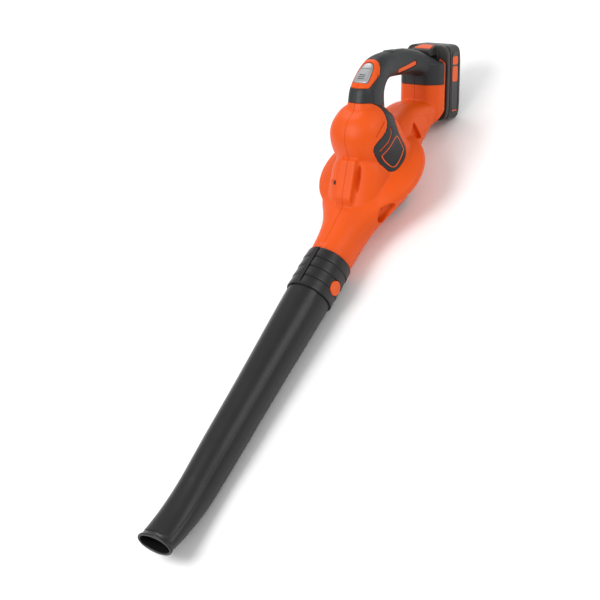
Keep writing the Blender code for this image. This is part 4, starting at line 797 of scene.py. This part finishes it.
def hollow_out(body, backing, screws):
    """Spigot, inner hollow, bores and the lock's cup."""
    spigot = solid(cylinder(SPIGOT_RADIUS, -SPIGOT_LENGTH, 0.004, 72), ALONG_X)
    combine(body, "UNION", spigot)
    hollow = solid(FORMS[0](WALL, False))
    for make in FORMS[1:]:
        combine(hollow, "UNION", solid(make(WALL, False)))
    wall = box((RECEIVER_REAR - RAIL_DEPTH - 0.0035, -0.15, -0.05),
               (RECEIVER_REAR + 0.05, 0.15, 0.262))
    combine(hollow, "DIFFERENCE", solid(wall, GRIP))
    for x, z, half in screws:
        combine(hollow, "DIFFERENCE", solid(cylinder(BOSS_RADIUS, -half, half, 32), across(x, z)))
    combine(hollow, "DIFFERENCE", *backing)
    combine(body, "DIFFERENCE", hollow)
    bore = cylinder(SPIGOT_RADIUS - SPIGOT_WALL, -SPIGOT_LENGTH - 0.01, 0.02, 72)
    intake = cylinder(INTAKE_RADIUS + GAP, -BELLY_DEPTH - 0.01, -BELLY_DEPTH + 0.01, 72)
    combine(body, "DIFFERENCE", solid(bore, ALONG_X),
            solid(intake, Matrix.Translation((FAN_X, 0, 0))))
    lock = across(LOCK_X, 0)
    cup = solid(cylinder(LOCK_RADIUS + 0.0018, -SPIGOT_RADIUS, -LOCK_CUP_FLOOR + 0.0014), lock)
    inside = cylinder(SPIGOT_RADIUS - GAP, -SPIGOT_LENGTH, 0.0, 72)
    combine(body, "UNION", combine(cup, "INTERSECT", solid(inside, ALONG_X)))
    combine(body, "DIFFERENCE", solid(cylinder(LOCK_RADIUS + GAP, -0.04, -LOCK_CUP_FLOOR), lock))


def make_overmould(outer):
    """The soft layer, with its inlays, band crease and thumb dish."""
    grip = combine(overmould_zone(0.0), "INTERSECT", copy_of(outer))
    combine(grip, "DIFFERENCE", shrunk(outer, OVERMOULD))
    remesh(grip, OVERMOULD_VOXEL, 2)
    for side, word in SIDES:
        reach = span(side, 0.004, 0.06)

        def strip(half):
            return solid(prism(ribbon(INLAY_RUN, half), *reach), GRIP)

        rim = combine(strip(0.0047), "DIFFERENCE", shrunk(outer, FINE_LINE_DEPTH))
        combine(grip, "DIFFERENCE", rim)
        combine(grip, "DIFFERENCE", strip(0.0033))
        inlay = combine(copy_of(outer), "INTERSECT", strip(0.0030))
        combine(inlay, "DIFFERENCE", shrunk(outer, OVERMOULD))
        publish(inlay, f"grip_inlay_{word}", ORANGE_TRIM, "tool", slot="orange_shell")
        # upright crease of the band
        line = ((0.0922, 0.195), (0.0930, 0.195), (0.0930, 0.211), (0.0922, 0.211))
        crease = solid(prism(line, *reach), GRIP)
        combine(grip, "DIFFERENCE", combine(crease, "DIFFERENCE", shrunk(outer, CREASE_DEPTH)))
    dish = ball((SLIDER_START + 0.017, 0, GRIP_TOP + 0.0042), (0.0300, 0.0118, 0.0052))
    return combine(grip, "DIFFERENCE", solid(dish, GRIP))


def make_badge_frame(outer, side, word):
    """Thin frame let into the blank badge."""
    run = rounded(FRAME_RUN, 5)
    band = combine(solid(prism(grown(run, 0.0006), *span(side, 0.020, 0.07))), "DIFFERENCE",
                   solid(prism(grown(run, -0.0006), *span(side, 0.018, 0.077))))
    combine(band, "INTERSECT", shrunk(outer, -0.00025))
    combine(band, "DIFFERENCE", shrunk(outer, 0.0006))
    publish(band, f"badge_frame_{word}", ORANGE_TRIM, "tool", slot="orange_shell")


def make_housing():
    outer = outer_body()
    shaped, backing = recessed(outer)
    layer = combine(overmould_zone(GAP), "DIFFERENCE", shrunk(outer, OVERMOULD + GAP))
    body = combine(copy_of(shaped), "DIFFERENCE", layer)
    combine(body, "DIFFERENCE", button_block(RUN_CLEARANCE, -0.012, 0.03))
    remesh(body, SHELL_VOXEL, 2)
    engrave(body, outer)
    screws = screw_places()
    hollow_out(body, backing, screws)
    grip = make_overmould(outer)

    for target in (body, grip):
        slot = slab(slider_outline(GAP, SLIDER_TRAVEL), GRIP_TOP - 0.009, ABOVE_GRIP)
        combine(target, "DIFFERENCE", solid(slot, GRIP), rail_channel())
        for x, z, half in screws:
            head = cylinder(SCREW_HEAD_RADIUS + GAP, half - SCREW_SINK - 0.0026, BIG / 4)
            shank = cylinder(0.0020, -0.007, half, 24)
            combine(target, "DIFFERENCE", solid(head, across(x, z)), solid(shank, across(x, z)))
    window = box((RECEIVER_REAR - RAIL_DEPTH - 0.008, -0.0149, 0.1795),
                 (RECEIVER_REAR, 0.0149, 0.2059))
    combine(body, "DIFFERENCE", solid(window, GRIP))

    for side, word in SIDES:
        low, high = span(side, -BIG, SPLIT_GAP)
        for source, name, look, nodes, slot in (
                (body, "shell", ORANGE, ("housing",), "orange_shell"),
                (grip, "overmould", RUBBER, ("grip", "badge_panel"), "soft_grip")):
            beyond = solid(box((-BIG, low, -BIG), (BIG, high, BIG)))
            publish(combine(copy_of(source), "DIFFERENCE", beyond), f"{name}_{word}", look,
                    "tool", *[f"{node}_{word}" for node in nodes], slot=slot)
        make_badge_frame(outer, side, word)
    drop(outer, shaped, body, grip)


make_housing()


# ---- tube and collar
def make_collar():
    around = 180
    pitch = COLLAR_LENGTH / COLLAR_RINGS
    stations = []
    for i in range(COLLAR_RINGS):
        back = -pitch * i
        for share, rise in ((0.00, -0.0007), (0.035, -0.0007), (0.055, 0.0000), (0.30, 0.0002),
                            (0.60, 0.0005), (0.86, RING_STEP), (0.93, RING_STEP - 0.0001),
                            (0.965, 0.0)):
            stations.append((back - pitch * share, rise))
    stations[0] = (0.0, -0.0004)
    stations.append((-COLLAR_LENGTH, 0.0002))
    rings = []
    for x, rise in stations:
        ring = []
        for k in range(around):
            angle = 2 * math.pi * k / around
            turn = (math.degrees(angle) + 180) % 360 - 180
            radius = COLLAR_RADIUS + rise
            if 2.0 <= turn <= 17.0 and -COLLAR_LENGTH * 0.985 < x:
                radius = COLLAR_RADIUS + 0.0006
            if abs(turn) < 2.0 and -COLLAR_LENGTH * 0.93 < x:
                radius = COLLAR_RADIUS - 0.0030
            ring.append(Vector((x, radius * math.sin(angle), radius * math.cos(angle))))
        rings.append(ring)
    inner_radius = SPIGOT_RADIUS + 2 * GAP
    bore = TUBE_REAR_RADIUS + 0.0006
    inner = []
    for x, radius in ((0.0, inner_radius), (-SPIGOT_LENGTH - 0.002, inner_radius),
                      (-SPIGOT_LENGTH - 0.002, bore), (-COLLAR_LENGTH, bore)):
        inner.append(circle(x, radius, around))
    collar = solid(tunnel(rings, inner))
    hole = cylinder(LOCK_RADIUS + 2 * GAP, -0.05, -0.02, 64)
    combine(collar, "DIFFERENCE", solid(hole, across(LOCK_X, 0)))
    publish(collar, "collar", TUBE_BLACK, "tube", "tube_collar", slot="tube_black", angle=24)


def tube_rows():
    middle = (TUBE_REAR_RADIUS + 1.4 * TUBE_FRONT_RADIUS) / 2.4
    rows = [(-SPIGOT_LENGTH - 0.0023, 0.0, TUBE_REAR_RADIUS, TUBE_REAR_RADIUS, 0.0),
            (-0.110, 0.0, TUBE_REAR_RADIUS - 0.0008, TUBE_REAR_RADIUS - 0.0008, 0.0),
            (-TUBE_STRAIGHT_END * 0.6, 0.0, middle, middle, 0.0),
            (-0.310, 0.0, TUBE_FRONT_RADIUS + 0.0013, TUBE_FRONT_RADIUS + 0.0013, 0.0),
            (-TUBE_STRAIGHT_END, 0.0, TUBE_FRONT_RADIUS, TUBE_FRONT_RADIUS, 0.0)]
    steps = 8
    for i in range(1, steps + 1):
        t = i / steps
        rows.append((-TUBE_STRAIGHT_END - NOZZLE_LENGTH * t, NOZZLE_RISE * t * t,
                     TUBE_FRONT_RADIUS + (NOZZLE_HALF_WIDTH - TUBE_FRONT_RADIUS) * t,
                     TUBE_FRONT_RADIUS + (NOZZLE_HALF_HEIGHT - TUBE_FRONT_RADIUS) * t ** 1.3,
                     NOZZLE_TILT * t))
    fine = catmull([Vector((row[0], row[1], row[4])) for row in rows], 4)
    tall = catmull([Vector((row[2], row[3], 0)) for row in rows], 4)
    return [(a.x, a.y, b.x * TUBE_SHARE, b.y * TUBE_SHARE, a.z) for a, b in zip(fine, tall)]


def tube_ring(row, grow, crease):
    x, z, wide, tall, tilt = row
    ring = []
    count = 144
    for k in range(count):
        angle = 2 * math.pi * (k + 0.5) / count
        c, s = math.cos(angle), math.sin(angle)       # c is up
        turn = abs(math.degrees(angle) if angle < math.pi else 360 - math.degrees(angle))
        step = min(max((turn - 54.0) / 3.5, 0.0), 1.0)
        step = step * step * (3 - 2 * step)
        back = max(0.0, 1 - (turn - 57.5) / 34.0) if turn > 57.5 else 1.0
        dent = crease * step * back
        y, h = (wide + grow - dent) * s, (tall + grow - dent) * c
        ring.append(Vector((x + h * math.sin(tilt), y, z + h * math.cos(tilt))))
    return ring


def make_tube():
    rows = tube_rows()
    outer = []
    last = len(rows) - 1
    for i, row in enumerate(rows):
        if row[0] > -COLLAR_LENGTH:
            crease = 0.0
        else:
            crease = 0.0013 * min(1.0, (-COLLAR_LENGTH - row[0]) / 0.008)
        if i > last - 3:
            continue
        outer.append(tube_ring(row, 0.0, crease * (1.0 if i < last - 8 else 0.9)))
    x, z, wide, tall, tilt = rows[-1]
    for ahead, rise, crease in ((0.0085, 0.0001, 0.0009), (0.0048, 0.0003, 0.0005),
                                (0.0034, 0.0009, 0.0), (0.0024, LIP_HEIGHT, 0.0),
                                (0.0007, LIP_HEIGHT, 0.0), (0.0, LIP_HEIGHT - 0.0007, 0.0)):
        outer.append(tube_ring((x + ahead, z - ahead * 0.34, wide, tall, tilt), rise, crease))
    inner = [tube_ring(row, -TUBE_WALL, 0.0) for row in rows[:-1]]
    inner.append(tube_ring((x + 0.0008, z - 0.0003, wide, tall, tilt), -TUBE_WALL, 0.0))
    inner.append(tube_ring((x, z, wide, tall, tilt), -TUBE_WALL + 0.0007, 0.0))
    tube = solid(tunnel(outer, inner))
    publish(tube, "tube", TUBE_BLACK, "tube", "blow_tube", slot="tube_black", angle=30)


def make_lock():
    face = COLLAR_RADIUS + RING_STEP + 0.0006
    r = LOCK_RADIUS
    profile = [(0, -face + 0.0007), (r * 0.55, -face + 0.0005), (r * 0.80, -face + 0.0001),
               (r * 0.90, -face), (r * 0.965, -face + 0.0003), (r, -face + 0.0010),
               (r, -LOCK_SEAT), (0, -LOCK_SEAT)]
    publish(solid(lathe(profile, 72), across(LOCK_X, 0)), "lock_button", ORANGE_TRIM, "tube_lock",
            "tube_lock_button", slot="orange_button", angle=40)


make_collar()
make_tube()
make_lock()


# ---- controls
def make_button():
    crown = []
    for share, height in ((1.0, -BUTTON_THICKNESS), (1.0, 0.0000), (0.985, 0.0006),
                          (0.955, 0.0011), (0.90, 0.0016), (0.80, 0.0021), (0.62, 0.0025),
                          (0.35, 0.0027)):
        crown.append([Vector((x * share, y * share, height)) for x, y in shield(0.0)])
    button = solid(loft(crown), BUTTON)
    ledge = box((0.0056, -0.02, 0.0010), (0.0066, 0.02, 0.006))
    combine(button, "DIFFERENCE", solid(ledge, BUTTON))
    for k in range(3):
        x = -0.0115 + 0.0032 * k
        rib = [(x + a, b) for a, b in oval(0.0009, 0.0056, 4.0, 28)]
        combine(button, "DIFFERENCE", solid(slab(rib, 0.0008, 0.01), BUTTON))
    publish(button, "boost_key", BUTTON_GREY, "boost", "boost_button", slot="button_silver",
            angle=28)


def make_slide():
    outline = slider_outline(0.0, 0.0)
    middle = SLIDER_START + SLIDER_LENGTH / 2
    rings = []
    for share, height in ((1.0, GRIP_TOP - 0.0045), (1.0, GRIP_TOP + 0.0002),
                          (0.975, GRIP_TOP + 0.0008), (0.93, GRIP_TOP + 0.0011)):
        rings.append([Vector((middle + (x - middle) * share, y * share, height))
                      for x, y in outline])
    slide = solid(loft(rings), GRIP)
    for k in range(5):
        x = middle - 0.0080 + 0.0040 * k
        groove = [(x + a, b) for a, b in oval(0.0009, 0.0064, 4.0, 28)]
        combine(slide, "DIFFERENCE",
                solid(slab(groove, GRIP_TOP + 0.0002, GRIP_TOP + 0.01), GRIP))
    publish(slide, "slide_switch", SLIDE_BLACK, "power", "power_slide", slot="slide_black")


make_button()
make_slide()


# ---- battery pack
def rail_plan(rear):
    """Outline of the pack's T-shaped rail, back to the given x."""
    keep = ((RECEIVER_REAR - RAIL_DEPTH, RAIL_HALF), (RECEIVER_REAR - RAIL_LIP, RAIL_HALF),
            (RECEIVER_REAR - RAIL_LIP, RAIL_MOUTH_HALF), (rear, RAIL_MOUTH_HALF))
    return [(x, -y) for x, y in keep] + list(reversed(keep))


def receiver_roof():
    """Running clearance over the receiver's roof."""
    clear = RUN_CLEARANCE
    outline = []
    for share, z in ((1.0, 0.20), (1.0, RECEIVER_SHOULDER + 2 * clear),
                     (0.62, RECEIVER_RIDGE - 0.0065 + 3 * clear), (0.20, RECEIVER_RIDGE + clear)):
        outline.append((RECEIVER_SIDE * share + 2 * clear, z))
    outline += [(-y, z) for y, z in reversed(outline)]
    rear = RECEIVER_REAR + clear
    roof = solid(bar(outline, HEAD_FRONT - 0.01, rear))
    combine(roof, "DIFFERENCE",
            solid(slab(rail_plan(rear + 0.001), RAIL_BOTTOM, RECEIVER_SHOULDER)))
    roof.data.transform(GRIP)
    return roof


def from_node(name):
    """A working copy of a CAD solid, in the tool frame."""
    bm = bmesh.new()
    bm.from_mesh(frame["nodes"][name].data)
    bmesh.ops.remove_doubles(bm, verts=bm.verts, dist=0.00001)
    return solid(bm, TOOL.inverted())


def pack_outline(inset, count=96):
    middle = (PACK_TOP + PACK_BOTTOM) / 2
    tall = (PACK_TOP - PACK_BOTTOM) / 2 - inset
    power = 6.5 + inset * 700
    return [(y, middle + h) for y, h in oval(PACK_HALF_WIDTH - inset, tall, power, count)]


def cap_top(x):
    share = (x - HEAD_FRONT) / (PACK_SPLIT - HEAD_FRONT)
    return HEAD_FRONT_TOP + (HEAD_TOP - HEAD_FRONT_TOP) * share


def cap_ring(x, foot, top_half, low, ease):
    """Cross-section of the pack's roof-shaped cap."""
    top = cap_top(x) - ease
    knee = low + 0.006
    waist = ((foot + top_half) / 2 + 0.0004, (knee + top) / 2)
    return [Vector((x, y, z)) for y, z in (
        (-foot, low), (foot, low), (foot, knee), waist, (top_half, top), (-top_half, top),
        (-waist[0], waist[1]), (-foot, knee))]


def make_pack_cover():
    front = RECEIVER_REAR + 0.0012
    rear = PACK_SPLIT - 0.0004
    cover = solid(bar(pack_outline(0.0), front, rear), GRIP)
    low = RECEIVER_SHOULDER
    wide = [cap_ring(x, PACK_HALF_WIDTH - 0.0035, 0.0160, low, 0.0) for x in (front, rear)]
    combine(cover, "UNION", solid(loft(wide), GRIP))
    narrow = [cap_ring(x, 0.0182, 0.0160, low + 0.004, ease)
              for x, ease in ((HEAD_FRONT + 0.0002, 0.0012), (HEAD_FRONT + 0.0015, 0.0),
                              (rear, 0.0))]
    combine(cover, "UNION", solid(loft(narrow), GRIP))
    remesh(cover, 0.0007, 4)
    rail = slab(rail_plan(front + 0.0010), RAIL_BOTTOM, RECEIVER_SHOULDER)
    combine(cover, "UNION", solid(rail, GRIP))
    combine(cover, "DIFFERENCE", receiver_roof())
    hollow = bar(pack_outline(PACK_WALL, 56), front + PACK_WALL, PACK_SPLIT + 0.01)
    combine(cover, "DIFFERENCE", solid(hollow, GRIP))
    for y in (-0.008, 0.008):               # slots for the contact blades
        slot = box((RECEIVER_REAR - RAIL_DEPTH - 0.01, y - 0.0012, RAIL_BOTTOM - 0.02),
                   (RECEIVER_REAR - 0.0025, y + 0.0012, 0.207))
        combine(cover, "DIFFERENCE", solid(slot, GRIP))
    start, end = LATCH_START - GAP, LATCH_START + LATCH_LENGTH + GAP
    broad, narrow = LATCH_HALF_WIDTH + 0.003 + GAP, LATCH_HALF_WIDTH + GAP
    plan = ((start, -broad), (end, -narrow), (end, narrow), (start, broad))
    combine(cover, "DIFFERENCE", solid(slab(plan, RECEIVER_RIDGE + 0.0018, 0.28), GRIP))
    for side, _ in SIDES:                   # stepped line along each flank
        low, high = span(side, PACK_HALF_WIDTH - 0.0014, 0.05)
        combine(cover, "DIFFERENCE", solid(box((0.2660, low, 0.156), (0.2700, high, 0.254)), GRIP))
    publish(cover, "pack_cover", PACK_GREY, "pack", "battery_cover", slot="pack_charcoal",
            angle=40)


def make_pack():
    make_pack_cover()
    middle = (PACK_BOTTOM + PACK_TOP) / 2
    half = (PACK_TOP - PACK_BOTTOM) / 2

    def plate(half_width, half_height, power, count, centre, reach):
        """A rounded plate on the pack's flank."""
        outline = [(LABEL_X + a, centre + b)
                   for a, b in oval(half_width, half_height, power, count)]
        return solid(prism(outline, *reach), GRIP)

    tray = remesh(from_node("battery_tray"), 0.0008, 7)
    for side, word in SIDES:
        pocket = plate(0.0098, half - 0.0090, 5.0, 56, middle,
                       span(side, PACK_HALF_WIDTH - 0.0009, 0.05))
        combine(tray, "DIFFERENCE", pocket)
        label = plate(0.0084, half - 0.0105, 5.0, 56, middle,
                      span(side, PACK_HALF_WIDTH - 0.0011, PACK_HALF_WIDTH - 0.0002))
        publish(label, f"pack_label_{word}", LABEL_BLACK, "pack", f"battery_label_{word}",
                slot="label_blank")
        reach = span(side, PACK_HALF_WIDTH - 0.0004, PACK_HALF_WIDTH - 0.00005)
        for k, (start, end) in enumerate(((0.2075, 0.2300), (0.2325, 0.2445), (0.1640, 0.1655))):
            block = plate(0.0070, (end - start) / 2, 6.0, 40, (start + end) / 2, reach)
            publish(block, f"label_block_{word}_{k + 1}", ORANGE_TRIM, "pack",
                    slot="latch_orange")
    publish(tray, "pack_tray", PACK_GREY, "pack", "battery_tray", slot="pack_charcoal", angle=40)
    latch = remesh(from_node("battery_latch_button"), 0.0004, 2)
    publish(latch, "pack_latch", ORANGE_TRIM, "pack_latch", "battery_latch_button",
            slot="latch_orange", angle=40)


make_pack()


# ---- studio
def area_light(name, place, target, size, power):
    data = bpy.data.lights.new(name, "AREA")
    data.shape = "DISK"
    data.size = size
    data.energy = power
    lamp = placed(name, data)
    lamp.location = place
    lamp.rotation_euler = (Vector(target) - Vector(place)).to_track_quat("-Z", "Y").to_euler()


def make_studio():
    floor_mesh = bpy.data.meshes.new("studio_floor")
    bm = bmesh.new()
    bmesh.ops.create_grid(bm, x_segments=4, y_segments=4, size=30.0)
    bm.to_mesh(floor_mesh)
    bm.free()
    floor = placed("studio_floor", floor_mesh)
    floor.location.z = -0.0005
    floor_mesh.materials.append(moulded("pale_floor", (0.96, 0.96, 0.96), 0.9, 60, 0.0, 0.01))

    world = bpy.data.worlds.new("studio")
    bpy.context.scene.world = world
    world.use_nodes = True
    sky = world.node_tree.nodes["Background"]
    sky.inputs["Color"].default_value = (1, 1, 1, 1)
    sky.inputs["Strength"].default_value = 0.60
    area_light("key", (-0.9, 0.5, 1.9), (0.0, 0, 0.1), 1.3, 27)
    area_light("side", (0.7, -1.6, 1.4), (0.15, 0, 0.1), 1.3, 11)
    area_light("rear", (1.5, 1.0, 1.2), (0.1, 0, 0.1), 0.8, 9)


make_studio()

camera_data = bpy.data.cameras.new("camera")
camera_data.sensor_width = 36
camera_data.lens = 84.42
camera_data.clip_start = 0.1
camera_data.clip_end = 60
camera = placed("camera", camera_data)
camera.matrix_world = Matrix(((0.475177, 0.770125, -0.425575, -0.858536),
                              (-0.791224, 0.162395, -0.589570, -1.139050),
                              (-0.384932, 0.616875, 0.686507, 1.375558),
                              (0, 0, 0, 1)))
bpy.context.scene.camera = camera
bpy.context.scene.view_settings.view_transform = "Standard"
